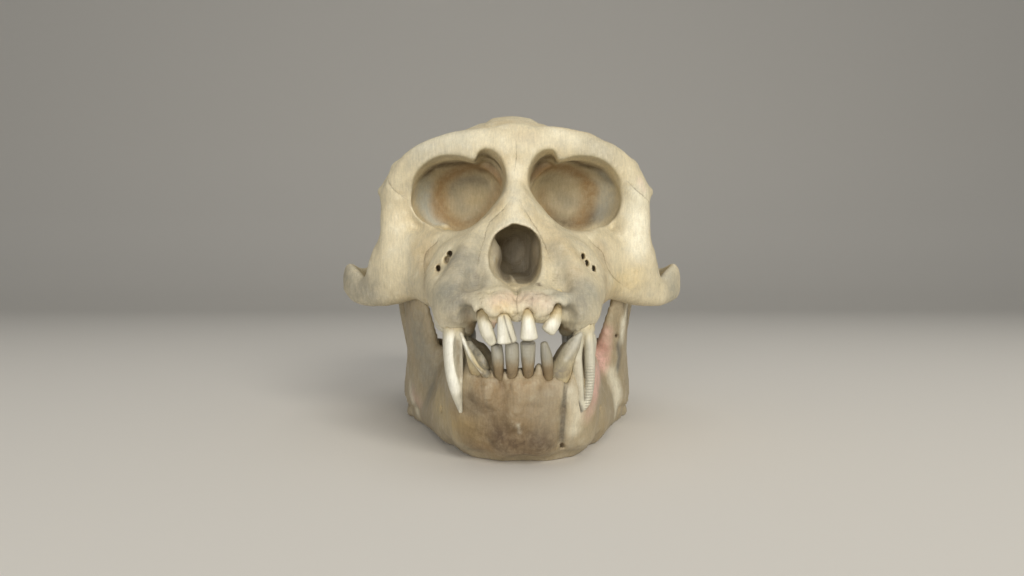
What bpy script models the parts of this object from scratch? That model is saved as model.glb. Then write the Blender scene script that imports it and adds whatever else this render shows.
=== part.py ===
"""A macaque's skull: a cranium, a lower jaw and 32 teeth, each tooth in its own socket.

The skull stands on the lower edge of its jaw and looks along -Y, with +Z up.
Shapes are set out in millimetres, in a frame whose y runs back from the front of the upper jaw
and whose z runs up from the surface that the jaw stands on. An empty carries that frame.
"""

import math

import bmesh
import bpy
from mathutils import Euler, Matrix, Vector

MM = 0.001

# Driving dimensions, in millimetres
SKULL_LENGTH = 125.0
LENGTH_MIDDLE = 62.67
ARCH_HALF_WIDTH = 44.6
VERTEX_HEIGHT = 84.5
BRAINCASE_HALF_WIDTH = 29.5
EYE_SOCKET_HALF_WIDTH = 10.0
EYE_SOCKET_HALF_HEIGHT = 8.3
EYE_SOCKET_SHIFT = 0.4
UPPER_GUM = 31.2
UPPER_BITE = 25.7
LOWER_GUM = 19.8
LOWER_BITE = 24.9
JAW_SHIFT = 1.4
TOOTH_CLEARANCE = 0.3

# How finely the bones and teeth are made
VOXEL = 1.0
CRANIUM_FACES = 3000
JAW_FACES = 1200
LOFT_SIDES = 16
HOLLOW_SIDES = 14
SOCKET_SIDES = 24
TOOTH_SIDES = 8
DOME_TURN = math.radians(63)

# Cheek teeth from front to back: distance back, distance out, half width and half length
UPPER_CHEEK_TEETH = {
    "first_premolar": (14.6, 13.6, 3.0, 2.6),
    "second_premolar": (20.3, 14.6, 3.4, 2.7),
    "first_molar": (27.0, 15.1, 3.6, 3.5),
    "second_molar": (35.0, 15.4, 3.9, 4.0),
    "third_molar": (43.4, 15.0, 3.6, 3.8),
}
LOWER_CHEEK_TEETH = {
    "first_premolar": (15.2, 12.2, 2.1, 2.8),
    "second_premolar": (21.1, 12.8, 2.3, 2.7),
    "first_molar": (27.8, 13.5, 2.9, 3.5),
    "second_molar": (35.9, 13.8, 3.2, 4.0),
    "third_molar": (44.9, 13.8, 3.1, 4.4),
}

# Front teeth: the place at the gum, the place of the biting edge, and half the edge's width
INCISORS = {
    "upper_right_second": ((-7.4, 4.6, 30.8), (-5.2, 2.8, 24.4), 1.4),
    "upper_right_first": ((-2.9, 2.4, 29.6), (-2.2, 1.2, 24.8), 1.4),
    "upper_left_first": ((1.7, 2.4, 29.6), (1.9, 1.2, 25.4), 1.65),
    "upper_left_second": ((7.4, 4.4, 30.8), (4.9, 2.4, 25.6), 1.6),
    "lower_right_second": ((-3.5, 6.0, 18.0), (-4.0, 4.2, 24.2), 1.2),
    "lower_right_first": ((-1.0, 5.6, 17.8), (-1.1, 3.6, 24.2), 1.35),
    "lower_left_first": ((2.0, 5.6, 17.8), (1.9, 3.6, 24.4), 1.45),
    "lower_left_second": ((5.6, 6.0, 18.0), (5.0, 4.2, 24.2), 1.2),
}
UPPER_CANINE_TIP = {"right": (10.9, 8.0, 10.8), "left": (12.4, 7.6, 11.2)}
LOWER_CANINE_TIP = {"right": (10.8, 4.0, 25.8), "left": (12.2, 3.6, 26.5)}
LOWER_CANINE_GUM = {"right": 7.2, "left": 8.4}
INCISOR_ROOT = 3.4
INCISOR_LEAN = 2.6

BONE = (0.62, 0.55, 0.40, 1.0)
JAW_BONE = (0.50, 0.43, 0.31, 1.0)
ENAMEL = (0.70, 0.64, 0.48, 1.0)
GREY_ENAMEL = (0.36, 0.33, 0.27, 1.0)

SIDES = {"right": -1.0, "left": 1.0}


def clear_scene():
    for thing in list(bpy.data.objects):
        bpy.data.objects.remove(thing, do_unlink=True)


def make_material(name, colour, roughness):
    material = bpy.data.materials.new(name)
    material.use_nodes = True
    surface = material.node_tree.nodes["Principled BSDF"]
    surface.inputs["Base Color"].default_value = colour
    surface.inputs["Roughness"].default_value = roughness
    surface.inputs["Metallic"].default_value = 0.0
    return material


def make_collection(name):
    collection = bpy.data.collections.new(name)
    bpy.context.scene.collection.children.link(collection)
    return collection


def smooth_path(rows, steps):
    """Rows of numbers with a smooth curve run through them, steps to each stretch."""
    rows = [Vector(row) for row in rows]
    rows = [2 * rows[0] - rows[1], *rows, 2 * rows[-1] - rows[-2]]
    path = []
    for before, start, end, after in zip(rows, rows[1:], rows[2:], rows[3:]):
        for step in range(steps):
            t = step / steps
            path.append(
                0.5 * (2 * start + (end - before) * t
                       + (2 * before - 5 * start + 4 * end - after) * t ** 2
                       + (3 * start - before - 3 * end + after) * t ** 3)
            )
    path.append(rows[-2])
    return path


def superellipse(angle, power):
    x = math.copysign(abs(math.cos(angle)) ** (2 / power), math.cos(angle))
    y = math.copysign(abs(math.sin(angle)) ** (2 / power), math.sin(angle))
    return x, y


def ball(shape, centre, radii, tilt=(0, 0, 0)):
    """An ellipsoid. tilt holds its turns about X, Y and Z in degrees."""
    turn = Euler([math.radians(angle) for angle in tilt]).to_matrix().to_4x4()
    matrix = Matrix.Translation(centre) @ turn @ Matrix.Diagonal((*radii, 1))
    bmesh.ops.create_uvsphere(shape, u_segments=32, v_segments=18, radius=1, matrix=matrix)


def skin(shape, rings):
    """Closes a row of rings of points into a solid."""
    made = []
    sides = len(rings[0])
    for ring, after in zip(rings, rings[1:]):
        for corner in range(sides):
            right = (corner + 1) % sides
            made.append(shape.faces.new((ring[corner], ring[right], after[right], after[corner])))
    made.append(shape.faces.new(rings[0]))
    made.append(shape.faces.new(rings[-1]))
    bmesh.ops.recalc_face_normals(shape, faces=made)


def bar(shape, rows, up=(0, 0, 1), steps=4, power=2.2, sides=LOFT_SIDES, taper=0.0, domes=(2, 2)):
    """A loft along rows of x, y, z, half width and half height, whose height points to up.

    taper narrows each section towards its upper side. domes counts the rings that round each end.
    """
    path = smooth_path(rows, steps) if len(rows) > 2 else [Vector(row) for row in rows]
    up = Vector(up)
    rings = []
    last = len(path) - 1
    for place, row in enumerate(path):
        along = (path[min(place + 1, last)].xyz - path[max(place - 1, 0)].xyz).normalized()
        high = (up - along * up.dot(along)).normalized()
        side = along.cross(high)
        centre = Vector(row[:3])
        size = min(row[3], row[4])
        count = {0: domes[0], last: domes[1]}.get(place, 0)
        turns = [DOME_TURN * (step + 1) / count for step in range(count)]
        spots = [(0.0, 1.0)] + [(size * math.sin(turn), math.cos(turn)) for turn in turns]
        if place == 0:
            spots = [(-shift, scale) for shift, scale in reversed(spots)]
        for shift, scale in spots:
            ring = []
            for corner in range(sides):
                across, rise = superellipse(math.tau * corner / sides, power)
                wide = row[3] * scale * across * (1 - taper * rise)
                tall = row[4] * scale * rise
                ring.append(shape.verts.new(centre + along * shift + side * wide + high * tall))
            rings.append(ring)
    skin(shape, rings)


def plank(shape, rows, steps=4, power=2.6, sides=LOFT_SIDES):
    """A loft along rows of two points, its lower and its upper edge, and half its thickness."""
    path = smooth_path(rows, steps)
    last = len(path) - 1
    rings = []
    for place, row in enumerate(path):
        low = Vector(row[0:3])
        high = Vector(row[3:6])
        before = path[max(place - 1, 0)]
        after = path[min(place + 1, last)]
        along = Vector(after[0:3]) + Vector(after[3:6]) - Vector(before[0:3]) - Vector(before[3:6])
        rise = (high - low) / 2
        side = along.cross(rise).normalized() * row[6]
        ring = []
        for corner in range(sides):
            across, up = superellipse(math.tau * corner / sides, power)
            ring.append(shape.verts.new((low + high) / 2 + side * across + rise * up))
        rings.append(ring)
    skin(shape, rings)


def mirrored(side, *rows):
    """Rows whose x is turned to one side."""
    return [(side * row[0], *row[1:]) for row in rows]


def mirrored_edges(side, *rows):
    """Rows of two points, whose x is turned to one side."""
    return [(side * row[0], *row[1:3], side * row[3], *row[4:]) for row in rows]


def make_object(name, shape, collection, material=None):
    """A bmesh in millimetres as an object in metres."""
    bmesh.ops.scale(shape, vec=(MM, MM, MM), verts=shape.verts)
    mesh = bpy.data.meshes.new(name)
    shape.to_mesh(mesh)
    shape.free()
    thing = bpy.data.objects.new(name, mesh)
    collection.objects.link(thing)
    if material:
        mesh.materials.append(material)
    else:
        thing.hide_render = True
        thing.display_type = "WIRE"
    return thing


def bake(thing):
    """Gives an object the mesh that its modifiers make."""
    bpy.context.view_layer.update()
    graph = bpy.context.evaluated_depsgraph_get()
    made = bpy.data.meshes.new_from_object(thing.evaluated_get(graph))
    thing.modifiers.clear()
    thing.data = made


def fuse(thing, voxel, smooth, rounds):
    """Joins what overlaps into one skin and softens the seams."""
    remesh = thing.modifiers.new("Fuse", "REMESH")
    remesh.mode = "VOXEL"
    remesh.voxel_size = voxel * MM
    soften = thing.modifiers.new("Soften", "SMOOTH")
    soften.factor = smooth
    soften.iterations = rounds
    bake(thing)


def cut(thing, cutter):
    boolean = thing.modifiers.new("Cut", "BOOLEAN")
    boolean.operation = "DIFFERENCE"
    boolean.solver = "EXACT"
    boolean.object = cutter
    bake(thing)


def thin_out(thing, faces):
    """Leaves about as many triangles as asked for."""
    count = sum(len(face.vertices) - 2 for face in thing.data.polygons)
    decimate = thing.modifiers.new("Thin out", "DECIMATE")
    decimate.ratio = min(1.0, faces / count)
    decimate.use_collapse_triangulate = True
    bake(thing)


def add_braincase(shape):
    half = BRAINCASE_HALF_WIDTH
    ball(shape, (0, SKULL_LENGTH - 41.5, VERTEX_HEIGHT - 24.4), (half, 41.5, 24))
    ball(shape, (0, 84, VERTEX_HEIGHT - 5), (9.6, 22, 5))
    ball(shape, (0, 53, 62.5), (21, 20, 9.5))
    ball(shape, (0, 100, 50), (24, 21, 14))
    for side in SIDES.values():
        ball(shape, (side * 14.5, 66, 50), (7.5, 15, 11))
        ball(shape, (side * 26, 93, 43.5), (6.5, 9, 6.5))
        ball(shape, (side * 17, 82, 39), (7.5, 12, 5))
    crest = ((-29, 93, 46), (-24.5, 104, 50), (-17, 115.5, 55.5), (0, 122.5, 58.5),
             (17, 115.5, 55.5), (24.5, 104, 50), (29, 93, 46))
    bar(shape, [(*place, 2.6, 2.2) for place in crest], steps=5)


def add_skull_base(shape):
    """The middle of the skull's underside, the neck's two knobs and the wings behind the palate."""
    bar(shape, ((0, 50, 40, 7, 5), (0, 66, 40, 7.5, 4.5), (0, 80, 39, 7, 4), (0, 95, 38, 7, 3.5)))
    inner_wing = ((8, 51, 25, 8, 50, 40, 1.4), (9, 58, 26, 9, 58, 42, 1.4), (10, 65, 32, 10, 66, 42, 1.4))
    outer_wing = ((10, 52, 26, 10, 51, 38, 1.3), (14, 59, 26, 14, 60, 40, 1.3),
                  (17, 66, 32, 17, 67, 44, 1.3))
    for side in SIDES.values():
        bar(shape, mirrored(side, (6.5, 91, 35.5, 3, 2.8), (9.5, 99, 36.5, 3, 2.8)))
        plank(shape, mirrored_edges(side, *inner_wing))
        plank(shape, mirrored_edges(side, *outer_wing))


def add_brow(shape):
    rows = ((0, 37.6, 68, 4.6, 4.6), (9.7, 37.2, 67.2, 4.5, 4.5), (17.3, 38.2, 65.7, 4.4, 4.4),
            (23.5, 40.2, 62.9, 4.3, 4.3), (28.2, 43, 59, 4.2, 4.4), (29, 45, 53, 4, 3.8),
            (28.8, 45, 46, 4.4, 4.4), (28.5, 45, 40, 5, 5))
    for side in SIDES.values():
        bar(shape, mirrored(side, *rows), up=(0, 1, 0), steps=3)
        ball(shape, (side * 30.6, 44, 60), (2.6, 3, 3.2))


def add_eye_walls(shape):
    """The bone around each eye socket, between the brow, the cheek and the braincase."""
    rows = ((28, 45, 42, 28, 45, 62, 2.4), (23.4, 53, 43.5, 23.4, 53, 62, 2.2),
            (18.4, 60, 44, 18.4, 60, 61, 2.6))
    for side in SIDES.values():
        ball(shape, (side * 13.2, 50, 56.5), (13.6, 16, 12), (0, 0, side * 14))
        plank(shape, mirrored_edges(side, *rows))


def add_nose(shape):
    bridge = ((0, 39, 64.5, 4.2, 3), (0, 35.5, 57.5, 3.9, 3.4), (0, 31.5, 52, 5.4, 4.6),
              (0, 27.5, 46.8, 7.4, 5))
    bar(shape, bridge, up=(0, -1, 0.8), taper=0.25)
    flanks = ((0, 25, 42.6, 9, 6), (0, 34, 46.4, 12, 8), (0, 46, 49, 14, 8))
    bar(shape, flanks, taper=0.35)


def add_muzzle(shape):
    rows = ((0, 2.4, 30.8, 8, 2), (0, 6, 31.8, 12, 2.8), (0, 11, 33.6, 14.2, 3.4), (0, 18, 36.8, 15, 5.8),
            (0, 28, 39.5, 15.8, 7.6), (0, 38, 40, 17, 8), (0, 48, 39, 16.6, 6))
    bar(shape, rows, power=2.6, taper=0.16)
    for side in SIDES.values():
        rows = mirrored(side, (4, 3.2, 31.2, 3.2, 2.2), (8.6, 5.6, 31, 3.6, 2.8),
                        (12, 8.8, 30.6, 3.8, 3.9), (13.5, 14.4, 32.6, 4.2, 3.6),
                        (14.7, 22, 34.4, 4.5, 4), (15.4, 34, 34.8, 4.9, 4), (14.8, 46.5, 35, 4.5, 3.8))
        bar(shape, rows, power=2.6)
        rows = mirrored(side, (12.2, 8.8, 31, 3.5, 3.7), (11.6, 13.4, 36.6, 3.1, 3.1),
                        (10.4, 19, 42.4, 2.4, 2.4))
        bar(shape, rows, up=(0, 1, 0))


def add_cheeks(shape):
    reach = ARCH_HALF_WIDTH
    for side in SIDES.values():
        rows = mirrored(side, (8, 33.5, 41.6, 5, 7), (16, 37.2, 41, 5, 7.2), (23.5, 43, 40, 5, 8),
                        (30.5, 47, 38.6, 4.4, 7.6))
        bar(shape, rows, power=2.4)
        ball(shape, (side * 17, 39, 36), (6.5, 8, 6))
        rows = mirrored(side, (30, 46, 37.8, 4, 6.6), (37, 49.5, 35.4, 2.4, 5),
                        (reach - 2.6, 55, 35.4, 1.9, 5), (reach - 1.7, 61, 36.4, 1.8, 4.8),
                        (reach - 2.8, 70, 38.8, 1.8, 4.2), (reach - 7.2, 80, 43.4, 2.2, 2.7),
                        (32, 88, 44, 3.6, 2.6), (27, 95, 44, 4, 2.4))
        bar(shape, rows, steps=5)
        ball(shape, (side * 31.5, 83.5, 44.6), (6.4, 5.4, 2.6))


def add_eye_socket(shape, side):
    """An eye socket is an oval cup with a smaller lobe at its upper inner corner."""
    wide = EYE_SOCKET_HALF_WIDTH
    tall = EYE_SOCKET_HALF_HEIGHT
    cup = ((14.2, 26, 56, wide, tall), (14, 38, 56.2, wide, tall), (13.4, 45, 56.4, wide, tall),
           (12, 51, 56.8, wide - 2, tall - 1.4), (10.8, 55.5, 57.2, 4.6, 4.4))
    lobe = ((7.3, 26, 59.6, 4.9, 5.4), (7.3, 40, 60, 4.6, 5.2), (9, 50, 59, 4, 5))
    for rows, power in ((cup, 2.3), (lobe, 2.0)):
        shifted = [(x + side * EYE_SOCKET_SHIFT, *rest) for x, *rest in mirrored(side, *rows)]
        bar(shape, shifted, power=power, steps=5, sides=SOCKET_SIDES)


def add_nose_opening(shape):
    rows = ((0, 6, 38.4, 5.2, 4.4), (0, 14, 40.2, 5.4, 5.6), (0, 26, 42.4, 5.4, 5.4),
            (0, 40, 43.4, 6, 4.4), (0, 50, 41, 5, 4))
    bar(shape, rows, sides=SOCKET_SIDES)


def add_palate_vault(shape):
    rows = ((0, 8, 26, 5.4, 5), (0, 15, 26.6, 8.2, 6.8), (0, 28, 27.4, 8.8, 8),
            (0, 48, 27.6, 8.8, 8.6), (0, 60, 27, 6, 9))
    bar(shape, rows, sides=SOCKET_SIDES)


def add_brain_hollow(shape):
    """The hollow that held the brain, open through the hole for the spinal cord."""
    rows = ((0, 65, 61, 8, 5), (0, 72, 61, 19, 13.5), (0, 84, 60.4, 24.4, 18.4), (0, 99, 60.2, 24, 18),
            (0, 111, 60.2, 17, 13), (0, 117, 60, 9, 7))
    bar(shape, rows, steps=1, sides=HOLLOW_SIDES, domes=(0, 0))


def add_spinal_hole(shape):
    rows = ((0, 94, 56, 6.4, 7), (0, 100, 44, 6.1, 6.8), (0, 106, 26, 6.6, 7.6))
    bar(shape, rows, up=(0, 1, 0), steps=1, sides=HOLLOW_SIDES)


def make_cutter(name, cutters, *makers):
    shape = bmesh.new()
    for maker, *rest in makers:
        maker(shape, *rest)
    cutter = make_object(name, shape, cutters)
    fuse(cutter, VOXEL, 0.5, 3)
    return cutter


def make_cranium(pieces, cutters, material):
    shape = bmesh.new()
    add_braincase(shape)
    add_skull_base(shape)
    add_brow(shape)
    add_eye_walls(shape)
    add_nose(shape)
    add_muzzle(shape)
    add_cheeks(shape)
    cranium = make_object("cranium", shape, pieces, material)
    fuse(cranium, VOXEL, 0.5, 10)
    for side_name, side in SIDES.items():
        cut(cranium, make_cutter(side_name + "_eye_socket", cutters, (add_eye_socket, side)))
    cut(cranium, make_cutter("nose_opening", cutters, (add_nose_opening,)))
    cut(cranium, make_cutter("palate_vault", cutters, (add_palate_vault,)))
    fuse(cranium, 0.8 * VOXEL, 0.5, 3)
    thin_out(cranium, CRANIUM_FACES)
    for name, add_hollow in (("brain_hollow", add_brain_hollow), ("spinal_hole", add_spinal_hole)):
        shape = bmesh.new()
        add_hollow(shape)
        cut(cranium, make_object(name, shape, cutters))
    return cranium


def add_jaw_body(shape, side):
    """Half of the jaw's tooth-bearing body, from the chin to the last molar."""
    plank(shape, mirrored_edges(
        side, (-1, 14.8, -1.2, -1, 6.2, 18.2, 4.4), (5, 16, -1.2, 5.2, 6.8, 18.2, 4.2),
        (10.6, 20.6, -1, 9.4, 12.6, 19.2, 3.7), (14.8, 27.6, -0.2, 12, 21.6, 19.8, 3.7),
        (18.2, 35.6, 0.3, 12.8, 32, 20, 3.8), (21.8, 45, 0.4, 13.6, 42, 20.2, 3.8),
        (25, 53, 0.2, 16, 49, 20.6, 3.6), (27.6, 60, 0, 21, 56, 21, 2.8)))


def add_jaw_branch(shape, side):
    """The upright plate behind the molars, with the jaw joint's knob on its rear corner."""
    plank(shape, mirrored_edges(
        side, (23.6, 49, 4, 20.6, 49, 18, 2.2), (25, 52.5, 1.5, 22.4, 52, 26, 2),
        (27, 57, 0, 25, 56.5, 37, 1.8),
        (28.2, 61, -0.9, 26.4, 60.5, 44, 1.6), (29.4, 66, -1.2, 27.8, 66, 40, 1.6),
        (30.2, 72, -1.2, 29.8, 72, 37.4, 1.8), (30.6, 78, 0, 31.6, 78.5, 37.4, 1.8),
        (30.6, 82, 5, 32.6, 81.6, 37.4, 1.8), (30.6, 84.2, 13, 32.8, 83.6, 33, 1.5)))
    bar(shape, mirrored(side, (28.4, 81, 37.6, 2.2, 2), (32.4, 81.6, 38, 2.6, 2.2), (36, 82, 37.6, 2.2, 2)))


def make_jaw(pieces, cutters, material):
    shape = bmesh.new()
    for side in SIDES.values():
        add_jaw_body(shape, side)
        add_jaw_branch(shape, side)
    bmesh.ops.translate(shape, vec=(JAW_SHIFT, 0, 0), verts=shape.verts)
    jaw = make_object("mandible", shape, pieces, material)
    fuse(jaw, 0.8 * VOXEL, 0.5, 5)
    thin_out(jaw, JAW_FACES)
    ground = bmesh.new()
    depth = 20
    place = Matrix.Translation((0, SKULL_LENGTH / 2, -depth / 2))
    extent = Matrix.Diagonal((SKULL_LENGTH, 2 * SKULL_LENGTH, depth, 1))
    bmesh.ops.create_cube(ground, size=1, matrix=place @ extent)
    cut(jaw, make_object("ground", ground, cutters))
    return jaw


def grown(rows, clearance):
    """A tooth's rows, larger all round by a clearance."""
    first = Vector(rows[0][:3])
    last = Vector(rows[-1][:3])
    first += (first - Vector(rows[1][:3])).normalized() * clearance
    last += (last - Vector(rows[-2][:3])).normalized() * clearance
    centres = [first, *(Vector(row[:3]) for row in rows[1:-1]), last]
    return [(*centre, row[3] + clearance, row[4] + clearance) for centre, row in zip(centres, rows)]


def incisor_rows(gum, edge, half_width):
    """The root leans back from the line that the crown stands on."""
    gum = Vector(gum)
    edge = Vector(edge)
    root = gum + (gum - edge).normalized() * INCISOR_ROOT + Vector((0, INCISOR_LEAN, 0))
    middle = (gum + edge) / 2
    return [(*root, 0.8, 0.9), (*gum, 0.66 * half_width, 1.5), (*middle, 0.88 * half_width, 1.4),
            (*edge, half_width, 0.6)]


def upper_canine_rows(side, tip):
    rows = ((11, 12.6, 35.4, 1.4, 1.7), (12.2, 9.6, 31, 2.2, 2.7), (13, 8.4, 26, 2.2, 2.8),
            (13.2, 7.8, 19, 1.7, 2.1), (*tip, 0.5, 0.6))
    return mirrored(side, *rows)


def lower_canine_rows(side, tip, gum):
    rows = ((gum - 0.4, 10.9, 12.8, 1.1, 1.3), (gum, 8.6, 17.4, 1.7, 1.8),
            (gum + 1.7, 5.2, 22, 1.6, 1.7), (*tip, 0.5, 0.6))
    return mirrored(side, *rows)


def upper_cheek_rows(side, back, out, wide, long):
    rows = ((out - 0.4, back + 0.4, UPPER_GUM + 4.4, 1.6, 0.6 * long),
            (out, back, UPPER_GUM + 0.9, 2.2, 0.76 * long),
            (out, back, UPPER_GUM - 1.6, wide, long),
            (out - 0.1, back, UPPER_BITE + 1.4, 0.92 * wide, 0.96 * long),
            (out - 0.1, back, UPPER_BITE, 0.6 * wide, 0.8 * long))
    return mirrored(side, *rows)


def lower_cheek_rows(side, back, out, wide, long):
    rows = ((out + 0.9, back, LOWER_GUM - 5, 1.4, 0.6 * long),
            (out + 0.3, back, LOWER_GUM - 1, 1.8, 0.76 * long),
            (out, back, LOWER_GUM + 1.6, wide, long),
            (out, back, LOWER_BITE - 1.4, 0.92 * wide, 0.96 * long),
            (out, back, LOWER_BITE, 0.6 * wide, 0.8 * long))
    rows = mirrored(side, *rows)
    return [(x + JAW_SHIFT, *rest) for x, *rest in rows]


def tooth_list():
    """Each tooth's name, its rows from root to tip, how square it is, and the rings that round its tip."""
    teeth = []
    for name, shape in INCISORS.items():
        teeth.append((name + "_incisor", incisor_rows(*shape), 2.4, 1))
    for side_name, side in SIDES.items():
        upper = "upper_" + side_name
        lower = "lower_" + side_name
        teeth.append((upper + "_canine", upper_canine_rows(side, UPPER_CANINE_TIP[side_name]), 2.0, 1))
        rows = lower_canine_rows(side, LOWER_CANINE_TIP[side_name], LOWER_CANINE_GUM[side_name])
        teeth.append((lower + "_canine", rows, 2.0, 1))
        for name, shape in UPPER_CHEEK_TEETH.items():
            teeth.append((upper + "_" + name, upper_cheek_rows(side, *shape), 2.8, 0))
        for name, shape in LOWER_CHEEK_TEETH.items():
            teeth.append((lower + "_" + name, lower_cheek_rows(side, *shape), 2.8, 0))
    return teeth


def make_teeth(pieces, cutters, cranium, jaw, enamel, grey_enamel):
    """Sets each tooth in a socket cut to its own shape."""
    for name, rows, power, rings in tooth_list():
        form = {"up": (0, 1, 0), "steps": 1, "power": power, "sides": TOOTH_SIDES, "domes": (0, rings)}
        grey = name.startswith("lower") and name.endswith("incisor")
        bone = cranium if name.startswith("upper") else jaw
        shape = bmesh.new()
        bar(shape, rows, **form)
        make_object(name, shape, pieces, grey_enamel if grey else enamel)
        socket = bmesh.new()
        bar(socket, grown(rows, TOOTH_CLEARANCE), **form)
        cut(bone, make_object(name + "_socket", socket, cutters))


def main():
    clear_scene()
    pieces = make_collection("macaque_skull")
    cutters = make_collection("cutters")
    bone = make_material("bone", BONE, 0.6)
    jaw_bone = make_material("jaw_bone", JAW_BONE, 0.6)
    enamel = make_material("enamel", ENAMEL, 0.35)
    grey_enamel = make_material("grey_enamel", GREY_ENAMEL, 0.4)
    cranium = make_cranium(pieces, cutters, bone)
    jaw = make_jaw(pieces, cutters, jaw_bone)
    make_teeth(pieces, cutters, cranium, jaw, enamel, grey_enamel)
    frame = bpy.data.objects.new("skull_frame", None)
    frame.location.y = -LENGTH_MIDDLE * MM
    pieces.objects.link(frame)
    for piece in pieces.objects:
        if piece is not frame:
            piece.parent = frame


main()
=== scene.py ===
"""The looks of a macaque's skull: worn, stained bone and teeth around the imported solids.

Bones and teeth are shaped as clay: distances on a grid, where lumps and lofts are joined and cut
with soft edges, and then a fine skin. Shapes are set out in millimetres, in a frame whose y runs
back from the front of the upper jaw and whose z runs up from the surface that the jaw stands on.
"""

import math

import bpy
import numpy as np
import openvdb
from mathutils import Euler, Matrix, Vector, noise


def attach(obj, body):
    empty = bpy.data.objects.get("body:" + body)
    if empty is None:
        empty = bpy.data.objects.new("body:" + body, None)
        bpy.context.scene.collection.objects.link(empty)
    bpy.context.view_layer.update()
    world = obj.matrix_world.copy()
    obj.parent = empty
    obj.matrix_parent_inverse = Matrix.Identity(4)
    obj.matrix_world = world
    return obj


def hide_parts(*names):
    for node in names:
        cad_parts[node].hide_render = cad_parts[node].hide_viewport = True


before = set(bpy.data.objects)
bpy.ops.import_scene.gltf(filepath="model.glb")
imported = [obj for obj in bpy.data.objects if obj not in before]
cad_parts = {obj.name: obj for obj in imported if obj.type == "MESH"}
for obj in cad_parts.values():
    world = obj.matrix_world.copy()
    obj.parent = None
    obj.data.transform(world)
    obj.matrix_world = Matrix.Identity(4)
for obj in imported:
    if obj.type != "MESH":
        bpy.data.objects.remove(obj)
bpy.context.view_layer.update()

MM = 0.001
LENGTH_MIDDLE = 62.67
SHIFT = np.array((0, -LENGTH_MIDDLE, 0), np.float32)

# The blocks of space that hold the two bones, from low to high corner
CRANIUM_BLOCK = ((-46, -2, 22), (46, 127, 87))
JAW_BLOCK = ((-39, -2, -3), (42, 92, 48))

# How fine the skins are, in millimetres a step, and how many triangles they keep
BONE_STEP = 0.42
JAW_STEP = 0.42
TOOTH_STEP = 0.16
CRANIUM_TRIANGLES = 198000
JAW_TRIANGLES = 120000
TOOTH_TRIANGLES = 7000

# How much the parts that the photo shows are thinned out, where hidden parts count 1, and the depth
# in y and the turn of the surface up to which a part counts as shown
SHOWN_WEIGHT = 0.05
SHOWN_DEPTH = 52
SHOWN_TURN = 0.3

# A distance beyond every shape, and the least thickness and slope that the formulas allow
FAR = 60.0
THINNEST = 0.1
FLATTEST = 1e-4

# How far the jaw and the face sit to one side of the skull's middle, how much narrower than its
# tooth a socket is, and how soft its edge
JAW_SHIFT = 1.4
FACE_SHIFT = 0.6
SOCKET_GAP = -0.08
SOCKET_EDGE = 0.2

BACK = (0, 1, 0)
DOWN = (0, 0, -1)


def soft_min(first, second, blend):
    """The lesser of two distances, with the crease between them rounded."""
    if blend <= 0:
        return np.minimum(first, second)
    near = np.maximum(blend - np.abs(first - second), 0) / blend
    return np.minimum(first, second) - near * near * (blend / 4)


def smooth_path(rows, steps, closed=False):
    """Rows of numbers with a smooth curve run through them, steps to each stretch."""
    rows = np.array(rows, float)
    if closed:
        rows = np.vstack((rows[-1:], rows, rows[:2]))
    else:
        rows = np.vstack((2 * rows[0] - rows[1], rows, 2 * rows[-1] - rows[-2]))
    path = []
    for before, start, end, after in zip(rows, rows[1:], rows[2:], rows[3:]):
        for t in np.arange(steps) / steps:
            path.append(
                0.5 * (2 * start + (end - before) * t
                       + (2 * before - 5 * start + 4 * end - after) * t ** 2
                       + (3 * start - before - 3 * end + after) * t ** 3)
            )
    if not closed:
        path.append(rows[-2])
    return np.array(path)


class Shape:
    """A closed form as parts, each with its low and high corner and its distance function."""

    def __init__(self, parts):
        self.parts = parts
        self.low = np.min([low for low, _, _ in parts], axis=0)
        self.high = np.max([high for _, high, _ in parts], axis=0)

    def mirrored(self):
        def flip(low, high, distance):
            low, high = low.copy(), high.copy()
            low[0], high[0] = -high[0], -low[0]
            return low, high, lambda x, y, z: distance(-x, y, z)
        return Shape([flip(*part) for part in self.parts])

    def moved(self, shift):
        shift = np.array(shift, float)

        def move(low, high, distance):
            def moved_distance(x, y, z):
                return distance(x - shift[0], y - shift[1], z - shift[2])
            return low + shift, high + shift, moved_distance
        return Shape([move(*part) for part in self.parts])


def ball(centre, radii, tilt=(0, 0, 0)):
    """An ellipsoid. tilt holds its turns about X, Y and Z in degrees."""
    centre = np.array(centre, float)
    radii = np.array(radii, float)
    turn = np.array(Euler([math.radians(angle) for angle in tilt]).to_matrix())
    reach = np.sqrt(((turn * radii) ** 2).sum(axis=1))

    def distance(x, y, z):
        offset = (x - centre[0], y - centre[1], z - centre[2])
        local = [
            sum(turn[row, axis] * offset[row] for row in range(3)) / radii[axis]
            for axis in range(3)
        ]
        far = np.sqrt(local[0] ** 2 + local[1] ** 2 + local[2] ** 2)
        slope = np.sqrt(sum((local[axis] / radii[axis]) ** 2 for axis in range(3)))
        return (far - 1) * far / np.maximum(slope, FLATTEST)
    return Shape([(centre - reach, centre + reach, distance)])


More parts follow.
